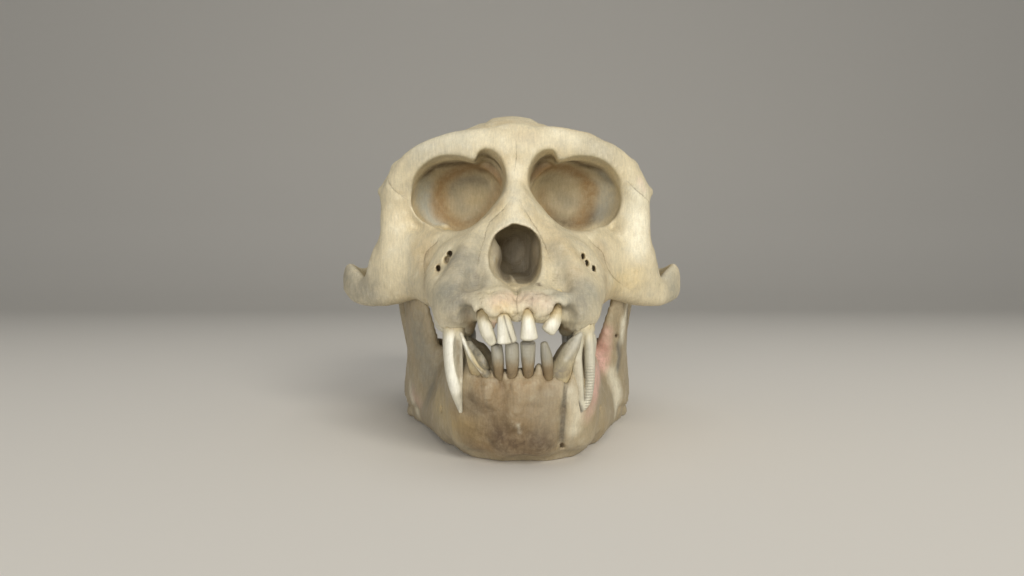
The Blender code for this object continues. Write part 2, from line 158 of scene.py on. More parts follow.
def stretch(start, end, side, high, power, taper):
    """One straight stretch of a bar, from row to row of x, y, z, half width and half height."""
    run = end[:3] - start[:3]
    ahead = run / np.linalg.norm(run)
    size = np.maximum(start[3:5], end[3:5]).max()
    low = np.minimum(start[:3], end[:3]) - size
    top = np.maximum(start[:3], end[:3]) + size

    def distance(x, y, z):
        offset = [x - start[0], y - start[1], z - start[2]]
        along = np.clip(sum(o * r for o, r in zip(offset, run)) / run.dot(run), 0, 1)
        offset = [o - along * r for o, r in zip(offset, run)]
        wide = start[3] + along * (end[3] - start[3])
        tall = start[4] + along * (end[4] - start[4])
        least = np.minimum(wide, tall)
        rise = sum(o * h for o, h in zip(offset, high)) / tall
        if taper:
            wide = wide * (1 - taper * np.clip(rise, -1, 1))
        across = sum(o * s for o, s in zip(offset, side)) / wide
        beyond = sum(o * a for o, a in zip(offset, ahead)) / least
        if power == 2:
            far = np.sqrt(across ** 2 + rise ** 2 + beyond ** 2)
        else:
            far = sum(np.abs(part) ** power for part in (across, rise, beyond)) ** (1 / power)
        slope = np.sqrt((across / wide) ** 2 + (rise / tall) ** 2 + (beyond / least) ** 2)
        return (far - 1) * np.minimum(far / np.maximum(slope, FLATTEST), np.maximum(wide, tall))
    return low, top, distance


def bar(rows, up=(0, 0, 1), steps=5, power=2.2, taper=0.0):
    """A loft along rows of x, y, z, half width and half height, whose height points to up."""
    path = smooth_path(rows, steps) if len(rows) > 2 else np.array(rows, float)
    path[:, 3:5] = np.maximum(path[:, 3:5], THINNEST)
    up = np.array(up, float)
    parts = []
    for start, end in zip(path, path[1:]):
        ahead = (end - start)[:3] / np.linalg.norm((end - start)[:3])
        high = up - ahead * up.dot(ahead)
        high /= np.linalg.norm(high)
        parts.append(stretch(start, end, np.cross(ahead, high), high, power, taper))
    return Shape(parts)


def prong(rows):
    """A round loft that runs up or down, as a tooth's root does."""
    return bar(rows, up=BACK, power=2)


def line(points, size):
    """A round thread through points."""
    return bar([(*point, size, size) for point in points], up=(0.3, 0.2, 1), steps=4, power=2)


def plank(rows):
    """A loft along rows of two points, its lower and its upper edge, and half its thickness."""
    parts = []
    path = smooth_path(rows, 5)
    for start, end in zip(path, path[1:]):
        middle_start = (start[0:3] + start[3:6]) / 2
        middle_end = (end[0:3] + end[3:6]) / 2
        ahead = (middle_end - middle_start) / np.linalg.norm(middle_end - middle_start)
        rise = start[3:6] - start[0:3] + end[3:6] - end[0:3]
        high = rise - ahead * rise.dot(ahead)
        high /= np.linalg.norm(high)
        first = (*middle_start, start[6], np.linalg.norm(start[3:6] - start[0:3]) / 2)
        last = (*middle_end, end[6], np.linalg.norm(end[3:6] - end[0:3]) / 2)
        side = np.cross(ahead, high)
        parts.append(stretch(np.array(first), np.array(last), side, high, 2.6, 0.0))
    return Shape(parts)


def tunnel(outline, rows):
    """A closed outline in x and z, swept back along y.

    rows hold y, the outline's scale there, the place that it shrinks to, and a shift in x and z.
    """
    loop = smooth_path(outline, 4, closed=True)
    grain = 0.15
    margin = 8.0
    low = loop.min(axis=0) - margin
    high = loop.max(axis=0) + margin
    x = np.arange(low[0], high[0], grain)[:, None]
    z = np.arange(low[1], high[1], grain)[None, :]
    near = np.full((x.size, z.size), FAR ** 2)
    inside = np.zeros(near.shape, bool)
    for start, end in zip(loop, np.roll(loop, -1, axis=0)):
        run = end - start
        along = np.clip(((x - start[0]) * run[0] + (z - start[1]) * run[1]) / run.dot(run), 0, 1)
        gap = (x - start[0] - along * run[0]) ** 2 + (z - start[1] - along * run[1]) ** 2
        near = np.minimum(near, gap)
        crossed = (start[1] > z) != (end[1] > z)
        with np.errstate(divide="ignore", invalid="ignore"):
            inside ^= crossed & (x < start[0] + run[0] * (z - start[1]) / run[1])
    flat = np.where(inside, -1, 1) * np.sqrt(near)
    rows = np.array(rows, float)
    centre = loop.mean(axis=0)

    def distance(x, y, z):
        scale = np.interp(y, rows[:, 0], rows[:, 1])
        u = (x - centre[0] - np.interp(y, rows[:, 0], rows[:, 2])) / scale + centre[0]
        w = (z - centre[1] - np.interp(y, rows[:, 0], rows[:, 3])) / scale + centre[1]
        u = np.clip((u - low[0]) / grain, 0, flat.shape[0] - 1.001)
        w = np.clip((w - low[1]) / grain, 0, flat.shape[1] - 1.001)
        column = u.astype(np.int32)
        row = w.astype(np.int32)
        u = u - column
        w = w - row
        found = ((flat[column, row] * (1 - u) + flat[column + 1, row] * u) * (1 - w)
                 + (flat[column, row + 1] * (1 - u) + flat[column + 1, row + 1] * u) * w)
        return np.maximum(found * scale, np.maximum(rows[0, 0] - y, y - rows[-1, 0]))
    most = np.abs(rows[:, 1]).max()
    reach = (loop.max(axis=0) - loop.min(axis=0)) * most / 2 + np.abs(rows[:, 2:4]).max(axis=0) + 1
    corner = (centre[0] - reach[0], rows[0, 0], centre[1] - reach[1])
    other = (centre[0] + reach[0], rows[-1, 0], centre[1] + reach[1])
    return Shape([(np.array(corner), np.array(other), distance)])


def largest_part(points, triangles, quads):
    """Drops the loose crumbs and sealed bubbles that soft joins can leave."""
    sides = ((0, 1), (1, 2), (0, 2))
    links = np.concatenate([faces[:, pair] for faces in (triangles, quads) for pair in sides])
    links = np.concatenate((links, quads[:, (2, 3)]))
    labels = np.arange(len(points))
    while True:
        least = np.minimum(labels[links[:, 0]], labels[links[:, 1]])
        changed = labels.copy()
        np.minimum.at(changed, links[:, 0], least)
        np.minimum.at(changed, links[:, 1], least)
        changed = changed[changed]
        if (changed == labels).all():
            break
        labels = changed
    kept = labels == np.bincount(labels).argmax()
    places = np.cumsum(kept) - 1
    triangles = places[triangles[kept[triangles[:, 0]]]]
    quads = places[quads[kept[quads[:, 0]]]]
    return points[kept], triangles, quads


class Clay:
    """A block of space that holds, at each step, the distance to the surface of what is shaped."""

    def __init__(self, low, high, step):
        self.low = np.array(low, float)
        self.step = step
        self.count = np.ceil((np.array(high) - self.low) / step).astype(int) + 1
        self.distances = np.full(self.count, FAR, np.float32)

    def window(self, low, high):
        start = np.clip(np.floor((low - self.low) / self.step).astype(int), 0, self.count)
        stop = np.clip(np.ceil((high - self.low) / self.step).astype(int) + 1, 0, self.count)
        return start, stop

    def axes(self, start, stop):
        lines = [
            (self.low[axis] + self.step * np.arange(start[axis], stop[axis])).astype(np.float32)
            for axis in range(3)
        ]
        return np.meshgrid(*lines, indexing="ij", sparse=True)

    def measure(self, shape, pad):
        """The block around a shape as slices, and the shape's distances in it."""
        start, stop = self.window(shape.low - pad, shape.high + pad)
        found = np.full(np.maximum(stop - start, 0), FAR, np.float32)
        for low, high, distance in shape.parts:
            first, last = self.window(low - pad, high + pad)
            if (last > first).all():
                part = tuple(slice(a, b) for a, b in zip(first - start, last - start))
                found[part] = np.minimum(found[part], distance(*self.axes(first, last)))
        return tuple(slice(a, b) for a, b in zip(start, stop)), found

    def add(self, shape, blend=2.0, both=False):
        block, found = self.measure(shape, blend + 2 * self.step)
        self.distances[block] = soft_min(self.distances[block], found, blend)
        if both:
            self.add(shape.mirrored(), blend)

    def cut(self, shape, blend=0.8, grow=0.0, both=False):
        block, found = self.measure(shape, blend + grow + 2 * self.step)
        self.distances[block] = -soft_min(-self.distances[block], found - grow, blend)
        if both:
            self.cut(shape.mirrored(), blend, grow)

    def press(self, shape, depth, reach, both=False):
        """Sinks the surface along a shape. A depth below zero raises it."""
        block, found = self.measure(shape, reach + self.step)
        amount = np.clip(1 - np.maximum(found, 0) / reach, 0, 1)
        self.distances[block] += depth * amount * amount * (3 - 2 * amount)
        if both:
            self.press(shape.mirrored(), depth, reach)

    def sample(self, field, points):
        """A field's values at points, each from the nearest step."""
        places = np.rint((points - self.low) / self.step).astype(int)
        places = np.clip(places, 0, self.count - 1)
        return field[places[:, 0], places[:, 1], places[:, 2]]

    def openness(self, points, reach):
        """Above 0 on ridges and below 0 in hollows: the mean distance around each point."""
        field = np.clip(self.distances, -reach, reach)
        width = max(1, int(round(reach / self.step)))
        for axis in range(3):
            total = np.cumsum(field, axis=axis, dtype=np.float64)
            row = np.arange(self.count[axis])
            upper = np.take(total, np.minimum(row + width, self.count[axis] - 1), axis)
            lower = np.take(total, np.maximum(row - width - 1, 0), axis)
            field = ((upper - lower) / (2 * width + 1)).astype(np.float32)
        return self.sample(field, points) / reach

    def skin(self, name):
        """The surface as a mesh object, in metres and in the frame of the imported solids."""
        grid = openvdb.FloatGrid(FAR)
        grid.copyFromArray(np.ascontiguousarray(self.distances))
        points, triangles, quads = grid.convertToPolygons(0.0, 0.0)
        points, triangles, quads = largest_part(points, triangles, quads)
        points = (self.low + self.step * points + SHIFT) * MM
        mesh = bpy.data.meshes.new(name)
        mesh.vertices.add(len(points))
        mesh.vertices.foreach_set("co", points.astype(np.float32).ravel())
        mesh.loops.add(4 * len(quads) + 3 * len(triangles))
        corners = np.concatenate((quads.ravel(), triangles.ravel()))
        mesh.loops.foreach_set("vertex_index", corners.astype(np.int32))
        mesh.polygons.add(len(quads) + len(triangles))
        after = 4 * len(quads)
        starts = np.concatenate((4 * np.arange(len(quads)), after + 3 * np.arange(len(triangles))))
        mesh.polygons.foreach_set("loop_start", starts.astype(np.int32))
        mesh.update(calc_edges=True)
        mesh.validate()
        return placed(name, mesh)


def placed(name, data):
    thing = bpy.data.objects.new(name, data)
    bpy.context.scene.collection.objects.link(thing)
    return thing


def on_both(action, shift, shape, *rest):
    """Adds, cuts or presses a shape and its mirror image, both set a shift to the side."""
    for half in (shape, shape.mirrored()):
        action(half.moved((shift, 0, 0)), *rest)


def bake(thing):
    bpy.context.view_layer.update()
    graph = bpy.context.evaluated_depsgraph_get()
    made = bpy.data.meshes.new_from_object(thing.evaluated_get(graph))
    thing.modifiers.clear()
    thing.data = made


def thin_out(thing, triangles, deepest=FAR):
    """Leaves about as many triangles as asked for, most of them in front of the deepest y."""
    count = sum(len(face.vertices) - 2 for face in thing.data.polygons)
    soften = thing.modifiers.new("Soften", "SMOOTH")
    soften.factor = 0.5
    soften.iterations = 1
    if count > triangles:
        plainer = thing.vertex_groups.new(name="plainer")
        points = corners_of(thing)
        shown = (points[:, 1] < deepest) & (facing_of(thing)[:, 1] < SHOWN_TURN)
        plainer.add(np.flatnonzero(~shown).tolist(), 1.0, "REPLACE")
        plainer.add(np.flatnonzero(shown).tolist(), SHOWN_WEIGHT, "REPLACE")
        decimate = thing.modifiers.new("Thin out", "DECIMATE")
        decimate.vertex_group = plainer.name
        decimate.vertex_group_factor = 1.0
        decimate.ratio = triangles / count
    bake(thing)
    thing.data.shade_smooth()


# The camera of the photo, in millimetres, its focal length in pixels, and the range of distances
# from it in which the skull lies
EYE = np.array((-3.36, -126.0, 34.6))
EYE_TURN = math.radians(1.01)
FOCAL = 695.3
PHOTO_MIDDLE = (512, 288)
SIGHT = (115.0, 250.0)


def seen(clay, pixels):
    """The places on the clay that the photo shows at these pixels."""
    ahead = np.array((math.sin(EYE_TURN), math.cos(EYE_TURN), 0))
    right = np.array((math.cos(EYE_TURN), -math.sin(EYE_TURN), 0))
    far = np.arange(*SIGHT, clay.step / 3)
    places = []
    for column, row in pixels:
        ray = ahead + right * (column - PHOTO_MIDDLE[0]) / FOCAL
        ray = ray + np.array((0, 0, 1)) * (PHOTO_MIDDLE[1] - row) / FOCAL
        along = EYE + far[:, None] * ray
        solid = np.flatnonzero(clay.sample(clay.distances, along) < 0)
        places.append(along[solid[0]] if len(solid) else along[len(far) // 3])
    return places


def laid(clay, points):
    """Points let down until they meet the clay."""
    far = np.arange(0.0, FAR, clay.step / 3)
    places = []
    for point in points:
        along = np.array(point, float) + far[:, None] * DOWN
        solid = np.flatnonzero(clay.sample(clay.distances, along) < 0)
        places.append(along[solid[0]] if len(solid) else along[0])
    return places


# The rim of the skull's left eye socket and the rim of the nose, in x and z
EYE_RIM = (
    (9.9, 63.9), (12.8, 64.6), (15.8, 64.9), (18.8, 64.4), (21.7, 63.0), (23.9, 60.6), (24.9, 57.6),
    (24.5, 54.6), (22.8, 51.6), (19.9, 49.3), (16.4, 48.2), (13.2, 48.1), (10.7, 49.0), (8.3, 50.9),
    (6.1, 53.3), (4.2, 55.8), (3.1, 58.3), (3.0, 60.9), (3.8, 63.4), (5.3, 65.3), (7.2, 66.1),
    (8.8, 65.6),
)
NOSE_RIM = (
    (-0.3, 47.8), (2.5, 47.1), (4.0, 46.1), (4.9, 44.5), (5.2, 42.6), (5.1, 40.5), (4.7, 38.3),
    (3.7, 36.3), (2.5, 35.4), (0.8, 35.1), (-0.3, 34.2), (-1.3, 35.1), (-2.9, 36.2), (-4.6, 37.6),
    (-5.4, 39.2), (-5.6, 41.3), (-5.2, 43.2), (-4.4, 45.2), (-3.1, 46.5), (-1.5, 47.3),
)

# Tongues of bone between the upper incisors: x, y, z, half width, half height
BONE_LOBES = (
    (-4.5, 4.4, 28.6, 0.7, 2.1), (-5.0, 4.6, 29.6, 0.7, 1.4), (-3.0, 2.8, 30.6, 1.3, 1.2),
    (-0.9, 3.4, 29.8, 0.8, 1.5), (0.1, 3.4, 29.5, 0.8, 1.5), (3.7, 3.8, 29.8, 0.8, 1.7),
    (4.7, 4.0, 29.5, 1.1, 1.5), (8.9, 6.8, 29.6, 1.0, 1.4),
)
# Upright creases between the roots: x, top and bottom
FRONT_CREASES = (
    (-5.2, 33.5, 28.6), (-3.9, 32.4, 29), (-0.7, 32.6, 28.4), (0.4, 33.4, 28.4), (3.4, 33, 28.4),
    (4.9, 32, 28.6), (6, 33.4, 29.4),
)
# Arches in the bone's front, where the roots of the upper incisors show: x, y, top and half width
ROOT_WINDOWS = (
    (-6.7, 4.6, 31.1, 1.4), (-2.5, 2.6, 30.5, 1.65), (1.85, 2.6, 31.3, 1.6), (7.3, 4.8, 32, 1.4),
)
# How tall half of such an arch is, and how far it cuts in behind the bone's front
WINDOW_TALL = 2.4
WINDOW_DEEP = 2.9

# Scrolls of thin bone inside the nose: x, y, z, half width, half length, half height
NOSE_LUMPS = (
    (-5.0, 28, 41.6, 2.1, 6, 3.2), (-5.2, 21.5, 40, 0.8, 2, 1),
    (-5.2, 26, 37.6, 1.6, 5, 0.9), (5.4, 34, 42.5, 1.6, 6, 3),
)

# Features placed where the photo shows them, as pixels
CHEEK_HOLES = ((449.5, 254), (446, 261), (438, 268.5), (583.5, 256.5), (587.5, 263.5), (594, 268.5))
FLAKE = (443, 227)
FACE_SEAMS = (
    ((440, 236), (436, 243), (426, 253), (424, 266), (424, 278)),
    ((587, 237), (594, 245), (603, 253), (607, 267), (614, 278), (627, 288)),
    ((510.5, 200), (502, 211), (489.5, 223), (484, 240), (479.5, 255), (476.5, 274)),
    ((522, 205), (532, 222), (538, 231), (545, 246), (549, 256)),
    ((517, 288), (517.5, 296), (516.5, 305), (518, 316)),
    ((385, 174), (389, 182), (394, 190), (402, 196)),
    ((632, 186), (638, 192), (646, 199)),
    ((516, 148), (516.5, 156), (515.5, 164)),
)


def shape_braincase(clay):
    clay.add(ball((0, 83.5, 60.1), (29.5, 41.5, 24)), 0)
    clay.press(ball((11.5, 66, 81), (2, 7, 2)), 1.7, 5, both=True)
    clay.add(ball((0, 86, 79.1), (9.4, 22, 5)), 1.2)
    clay.add(ball((0, 53, 62.3), (21, 20, 9.5)), 4)
    clay.add(ball((0, 100, 50), (24, 21, 14)), 3)
    clay.add(ball((14.5, 66, 50), (7.5, 15, 11)), 3, both=True)
    clay.add(ball((26, 93, 43.5), (6.5, 9, 6.5)), 3, both=True)
    clay.add(ball((17, 82, 39), (7.5, 12, 5)), 2.5, both=True)
    crest = ((-29, 93, 46), (-24.5, 104, 50), (-17, 115.5, 55.5), (0, 122.3, 58.5),
             (17, 115.5, 55.5), (24.5, 104, 50), (29, 93, 46))
    clay.add(bar([(*place, 2.4, 1.6) for place in crest]), 2.5)


def shape_skull_base(clay):
    clay.add(bar(((0, 50, 40, 7, 5), (0, 66, 40, 7.5, 4.5), (0, 80, 39, 7, 4), (0, 95, 38, 7, 3.5))), 3)
    clay.add(bar(((6.5, 91, 35.5, 3, 2.6), (9.5, 99, 36.3, 3, 2.6))), 1.5, both=True)
    wings = (
        ((8, 51, 25, 8, 50, 40, 1.1), (9, 58, 26, 9, 58, 42, 0.9), (10, 65, 32, 10, 66, 42, 0.9)),
        ((10, 52, 26, 10, 51, 38, 1.1), (14, 59, 26, 14, 60, 40, 0.9), (17, 66, 32, 17, 67, 44, 0.9)),
    )
    for rows in wings:
        clay.add(plank(rows), 1.5, both=True)


def shape_brow(clay):
    rows = ((0, 37.6, 68, 4.6, 4.6), (9.7, 37.2, 67.5, 4.3, 4.3), (17.3, 38.2, 66.1, 4.3, 4.3),
            (23.5, 40.2, 63.4, 4.3, 4.3), (28.2, 43, 59, 3.6, 4.4), (29, 45, 53, 4, 3.8),
            (28.8, 45, 46, 4.4, 4.4), (28.5, 45, 40, 5, 5))
    arch = bar(rows, up=BACK)
    corner = ball((30.6, 43.8, 57.8), (2.2, 2.4, 2.8))
    knob = ball((32.7, 45, 58.2), (1.1, 1.8, 1.3))
    for shape, blend in ((arch, 3), (corner, 1.5), (knob, 0.8)):
        on_both(clay.add, FACE_SHIFT, shape, blend)


def shape_eye_walls(clay):
    clay.add(ball((13.2, 50, 56.5), (13.6, 16, 12), (0, 0, 14)), 2.5, both=True)
    rows = ((28, 45, 42, 28, 45, 62, 2.4), (23.4, 53, 43.5, 23.4, 53, 62, 2.2),
            (18.4, 60, 44, 18.4, 60, 61, 2.6))
    clay.add(plank(rows), 2, both=True)


def shape_nose(clay):
    bridge = ((0, 39, 64.5, 4.2, 3), (0, 35.5, 57.5, 3.6, 3.4), (0, 31.5, 52, 5, 4.6),
              (0, 27.5, 46.8, 7.2, 4.8))
    clay.add(bar(bridge, up=(0, -1, 0.8), taper=0.25), 2)
    clay.add(bar(((0, 25, 42.6, 9, 6), (0, 34, 46.4, 12, 8), (0, 46, 49, 14, 8)), taper=0.35), 3)
    flank = ((3.1, 35.5, 60, 0.8, 0.8), (4.4, 34.4, 55, 0.9, 0.9), (7, 33.6, 51, 1, 1),
             (9.6, 34.4, 48.2, 1, 1))
    clay.add(bar(flank, up=BACK), 2, both=True)


def shape_muzzle(clay):
    rows = ((0, 3.0, 30.5, 8, 2.1), (0, 6, 31.8, 12, 2.8), (0, 11, 33.4, 14.2, 3.4),
            (0, 18, 36.6, 15, 5.8), (0, 28, 39.5, 15.8, 7.6), (0, 38, 40, 17, 8), (0, 48, 39, 16.6, 6))
    clay.add(bar(rows, power=2.6, taper=0.16), 2.5)
    rows = ((4, 3.4, 31.2, 3.2, 2.1), (8.6, 5.6, 31.2, 3.2, 2.6), (12.1, 8.8, 31.4, 3, 3.3),
            (13.5, 14.4, 32.8, 4, 3.6), (14.7, 22, 34.4, 4.4, 4), (15.4, 34, 34.8, 4.8, 4),
            (14.8, 46.5, 35, 4.5, 3.8))
    clay.add(bar(rows, power=2.6), 2, both=True)
    canine_ridge = ((12.4, 8.8, 29.5, 2.6, 3.1), (11.7, 12.4, 36, 2.4, 2.8), (10, 18.4, 41.6, 2, 2.2),
                    (8, 26.4, 46.2, 1.5, 1.6), (6.4, 32.6, 50.5, 1, 1))
    clay.add(bar(canine_ridge, up=BACK), 3.2, both=True)
    clay.add(ball((9.8, 12, 29), (2.4, 3.6, 4)), 2, both=True)
    clay.add(ball((12.3, 8.8, 27.8), (2.5, 3, 1.9)), 0.8, both=True)
    clay.add(ball((13, 27.5, 38.5), (5, 6.5, 6)), 5, both=True)
    clay.cut(ball((9.3, 1.8, 27), (1.3, 4.6, 3.4)), 1.2, both=True)
    clay.press(line(((9.4, 3.6, 30), (8.8, 6.4, 33), (8, 10, 37)), 0.5), 0.9, 2.4, both=True)
    clay.press(line(((3.6, 2.4, 31.4), (3.4, 5.5, 33.5)), 0.5), -0.35, 2, both=True)
    for x, y, z, wide, tall in BONE_LOBES:
        clay.add(ball((x, y, z), (wide, 1.5, tall)), 0.7)
    for x, top, low in FRONT_CREASES:
        crease = line(((x, 3.4, top), (x + 0.2, 2.2, 0.5 * (top + low)), (x, 1.6, low)), 0.2)
        clay.press(crease, 0.45, 1.1)
    for x, y, top, wide in ROOT_WINDOWS:
        clay.cut(ball((x, y - 2.6, top - WINDOW_TALL), (wide, WINDOW_DEEP, WINDOW_TALL)), 0.3)


def shape_cheeks(clay):
    rows = ((8, 33.5, 41.6, 5, 7), (16, 37.2, 41, 5, 7.2), (23.5, 43, 40, 5, 8),
            (30.5, 47, 38.6, 4.4, 7.6))
    clay.add(bar(rows, power=2.4), 3, both=True)
    clay.add(ball((17, 39, 36), (6.5, 8, 6)), 3, both=True)
    rows = ((30, 46, 37.2, 4, 6.4), (33.6, 47.4, 34.6, 3.2, 4.6), (37.6, 50, 33.7, 2.3, 3.4),
            (41.6, 54.4, 36, 1.9, 4.3), (42.9, 60, 37.2, 1.7, 3.9), (42.2, 67, 36.8, 1.6, 3.4),
            (40.6, 74.5, 37.8, 1.7, 3), (37.4, 81, 42, 2.1, 2.7), (32, 88, 44, 3.6, 2.6),
            (27, 95, 44, 4, 2.4))
    clay.add(bar(rows), 2, both=True)
    clay.press(line(((-43.4, 51, 31), (-44.6, 56, 31.6), (-44.8, 62, 32.6)), 0.3), 0.9, 3)
    clay.add(ball((31.5, 83.5, 44.6), (6.4, 5.4, 2.6)), 2, both=True)


def cut_face(clay):
    """The eye sockets, the nose and the small holes of the face."""
    depth = ((24, 1.2, 0, 0), (34, 1.04, 0, 0), (38, 1, 0, 0), (42, 0.98, -0.2, 0),
             (44.5, 0.9, -0.4, 0))
    rim = tunnel(EYE_RIM, depth)
    bowl = ball((13.3, 43.5, 56.4), (10.2, 11.8, 8.9), (0, 0, 10))
    outer_bowl = ball((17.2, 43.5, 56), (8.2, 9, 7.6))
    for shape, blend in ((rim, 0.5), (bowl, 0.8), (outer_bowl, 0.8)):
        on_both(clay.cut, FACE_SHIFT, shape, blend)
    depth = ((4, 1, 0, -1), (16, 1, 0, 0), (26, 1.02, 0, 0.6), (34, 1, 0, 1.6), (39, 0.85, 0, 2),
             (42, 0.5, 0, 2.5))
    clay.cut(tunnel(NOSE_RIM, depth), 0.5)
    floor = ((0, 8, 31, 6, 2.6), (0, 20, 31.6, 7, 3.4), (0, 34, 33.4, 7, 4), (0, 50, 34, 7, 5))
    clay.add(bar(floor), 1)
    middle_wall = ((-0.2, 12.6, 32, -0.2, 13.4, 34.8, 0.7), (-0.3, 18, 33, -0.3, 18, 35.7, 0.7),
                   (-0.7, 24, 33, -0.7, 24, 37, 0.6), (-1, 30, 34, -1, 30, 37.6, 0.5))
    clay.add(plank(middle_wall), 0.8)
    for x, y, z, wide, long, tall in NOSE_LUMPS:
        clay.add(ball((x, y, z), (wide, long, tall)), 2.2)
    for place in seen(clay, CHEEK_HOLES):
        wide = 0.62 if place[0] < 0 else 0.48
        mouth = (*(place + (0, -1.2, -0.2)), wide, 0.9)
        end = (*(place + (0, 3.4, 0.3)), wide, 0.7)
        clay.cut(bar((mouth, end), power=2), 0.1)
    for place in seen(clay, (FLAKE,)):
        clay.add(ball(place + (0, 1.2, 0.1), (1.5, 1.4, 1)), 0.2)
        clay.add(ball(place + (0.9, 1.4, -0.3), (1.3, 1, 0.7)), 0.2)


def cut_underside(clay):
    rows = ((0, 8, 26, 5.4, 5), (0, 15, 26.6, 8.2, 6.8), (0, 28, 27.4, 8.8, 8),
            (0, 48, 27.6, 8.8, 8.6), (0, 60, 27, 6, 9))
    clay.cut(bar(rows), 1.6)
    clay.cut(bar(((3.8, 56, 37, 2.6, 3.4), (3.6, 46, 38, 2.4, 3))), 0.8, both=True)
    clay.cut(bar(((2, 12, 30, 0.9, 1.2), (2, 16, 36, 0.7, 1)), up=BACK), 0.5, both=True)
    clay.cut(ball((0, 90.5, 60.3), (24.6, 26.5, 18.6)), 1)
    clay.cut(bar(((0, 94, 56, 6.4, 7), (0, 100, 44, 6.1, 6.8), (0, 106, 26, 6.6, 7.6)), up=BACK), 1)
    clay.press(ball((32, 83.5, 42), (5, 3.6, 1.6)), 0.8, 2.5, both=True)
    clay.add(bar(((24, 91, 40.5, 2.6, 2.4), (30, 90.5, 41.2, 2.2, 2))), 1.5, both=True)
    clay.cut(bar(((34, 90.3, 41.2, 1.3, 1.2), (25, 91.5, 41, 1, 1))), 0.5, both=True)
    clay.cut(ball((10.5, 76.5, 35), (1.3, 1.7, 2.4)), 0.5, both=True)
    clay.cut(ball((14.5, 72, 36.5), (1, 1.4, 2.4)), 0.5, both=True)
    clay.cut(ball((14.2, 93, 36), (1.6, 1.3, 2.6)), 0.6, both=True)


def shape_ridges(clay):
    """The temple lines, which run back from the brow and meet at the rear, and the face's seams."""
    temple = ((29, 41, 90), (22, 50, 90), (15.5, 62, 90), (10, 76, 90), (6.5, 90, 90),
              (3.5, 104, 90))
    clay.press(line(laid(clay, temple), 0.3), -0.45, 2.2, both=True)
    rear = laid(clay, ((0, 98, 95), (0, 108, 95), (0, 116, 95), (0, 121, 90)))
    clay.press(line(rear, 0.3), -0.7, 2.5)
    clay.press(line(((9, 37, 71.6), (17, 38, 70.6)), 0.3), -0.5, 4)
    for pixels in FACE_SEAMS:
        clay.press(line(seen(clay, pixels), 0.1), 0.22, 0.8)


def cut_sockets(clay, teeth):
    for root in teeth:
        clay.cut(root, SOCKET_EDGE, SOCKET_GAP)


def shape_cranium(teeth):
    clay = Clay(*CRANIUM_BLOCK, BONE_STEP)
    for shape_part in (
        shape_braincase, shape_skull_base, shape_brow, shape_eye_walls, shape_nose, shape_muzzle,
        shape_cheeks, cut_underside, cut_face, shape_ridges,
    ):
        shape_part(clay)
    cut_sockets(clay, teeth)
    return clay


def shape_jaw_body(clay):
    rows = ((-1, 14.8, -1.2, -1, 6.2, 18.2, 4.4), (5, 16, -1.2, 5.2, 6.8, 18.2, 4.2),
            (10.6, 20.6, -1, 9.4, 12.6, 19.2, 3.7), (14.8, 27.6, -0.2, 12, 21.6, 19.8, 3.7),
            (18.2, 35.6, 0.3, 12.8, 32, 20, 3.8), (21.6, 45, 0.4, 13.6, 42, 20.2, 3.6),
            (24.4, 53, 0.2, 16, 49, 20.6, 3), (26.2, 60, 0, 20.6, 56, 21, 2))
    chin_side = prong(((8, 8.8, 16, 2.4, 2.6), (9, 12.2, 9.5, 2.4, 2.4), (10.6, 17, 3, 2.4, 2)))
    for shape, blend in (
        (plank(rows), 2),
        (chin_side, 4),
        (ball((10.3, 15.2, 11.5), (3.3, 6.4, 8), (0, 0, -24)), 4),
        (ball((10.4, 14.4, 17), (3.2, 4.6, 7.5), (0, 0, -24)), 5),
    ):
        on_both(clay.add, JAW_SHIFT, shape, blend)


def shape_jaw_branch(clay):
    rows = ((23.4, 49, 4, 20.6, 49, 18, 2), (24.6, 52.5, 1.5, 24.6, 52, 26, 1.7),
            (26, 57, 0, 27.6, 56.5, 37, 1.6),
            (27, 61, -0.9, 28.8, 60.5, 44, 1.6), (28, 66, -1.2, 29.6, 66, 40, 1.5),
            (28.4, 72, -1.2, 30.8, 72, 37.4, 1.5), (28.8, 77, 2.2, 31.8, 77.5, 37.4, 1.6),
            (29, 80, 6, 32.4, 80, 37.2, 1.6), (30, 82, 13, 32.6, 82, 35, 1.4))
    knob = bar(((28.4, 81, 37.4, 2.2, 2), (32.4, 81.6, 37.8, 2.4, 2.1), (36, 82, 37.4, 2, 1.9)))
    corner = bar(((27.8, 63, 1.4, 1.6, 2), (28.6, 72, 1.4, 1.7, 2), (28.8, 78.4, 4.2, 1.6, 2),
                  (29, 81.6, 9, 1.5, 1.8), (30.4, 83.2, 16, 1.4, 1.6), (32.6, 83, 25, 1.4, 1.6),
                  (33.6, 82, 33, 1.4, 1.8)), up=(1, 0, 0))
    for shape in (plank(rows), knob, corner):
        on_both(clay.add, JAW_SHIFT, shape, 1.5)
    on_both(clay.cut, JAW_SHIFT, ball((34, 69, 24), (3, 9, 12), (0, 8, 0)), 1.5)
    nerve_hole = bar(((22, 66, 22, 1.3, 1.6), (27.6, 64, 18.5, 0.9, 1)), up=BACK)
    on_both(clay.cut, JAW_SHIFT, nerve_hole, 0.6)


# The outer line in x and y along which the jaw's lower edge is rounded off, and how deep along its
# points from a first to a last one
JAW_EDGE = ((0, 11.4), (8, 13), (13, 17.6), (16.4, 24), (20, 34), (23.6, 44), (27, 52))
EDGE_DEPTHS = ((0, 4, 1.2), (3, 7, 0.3))

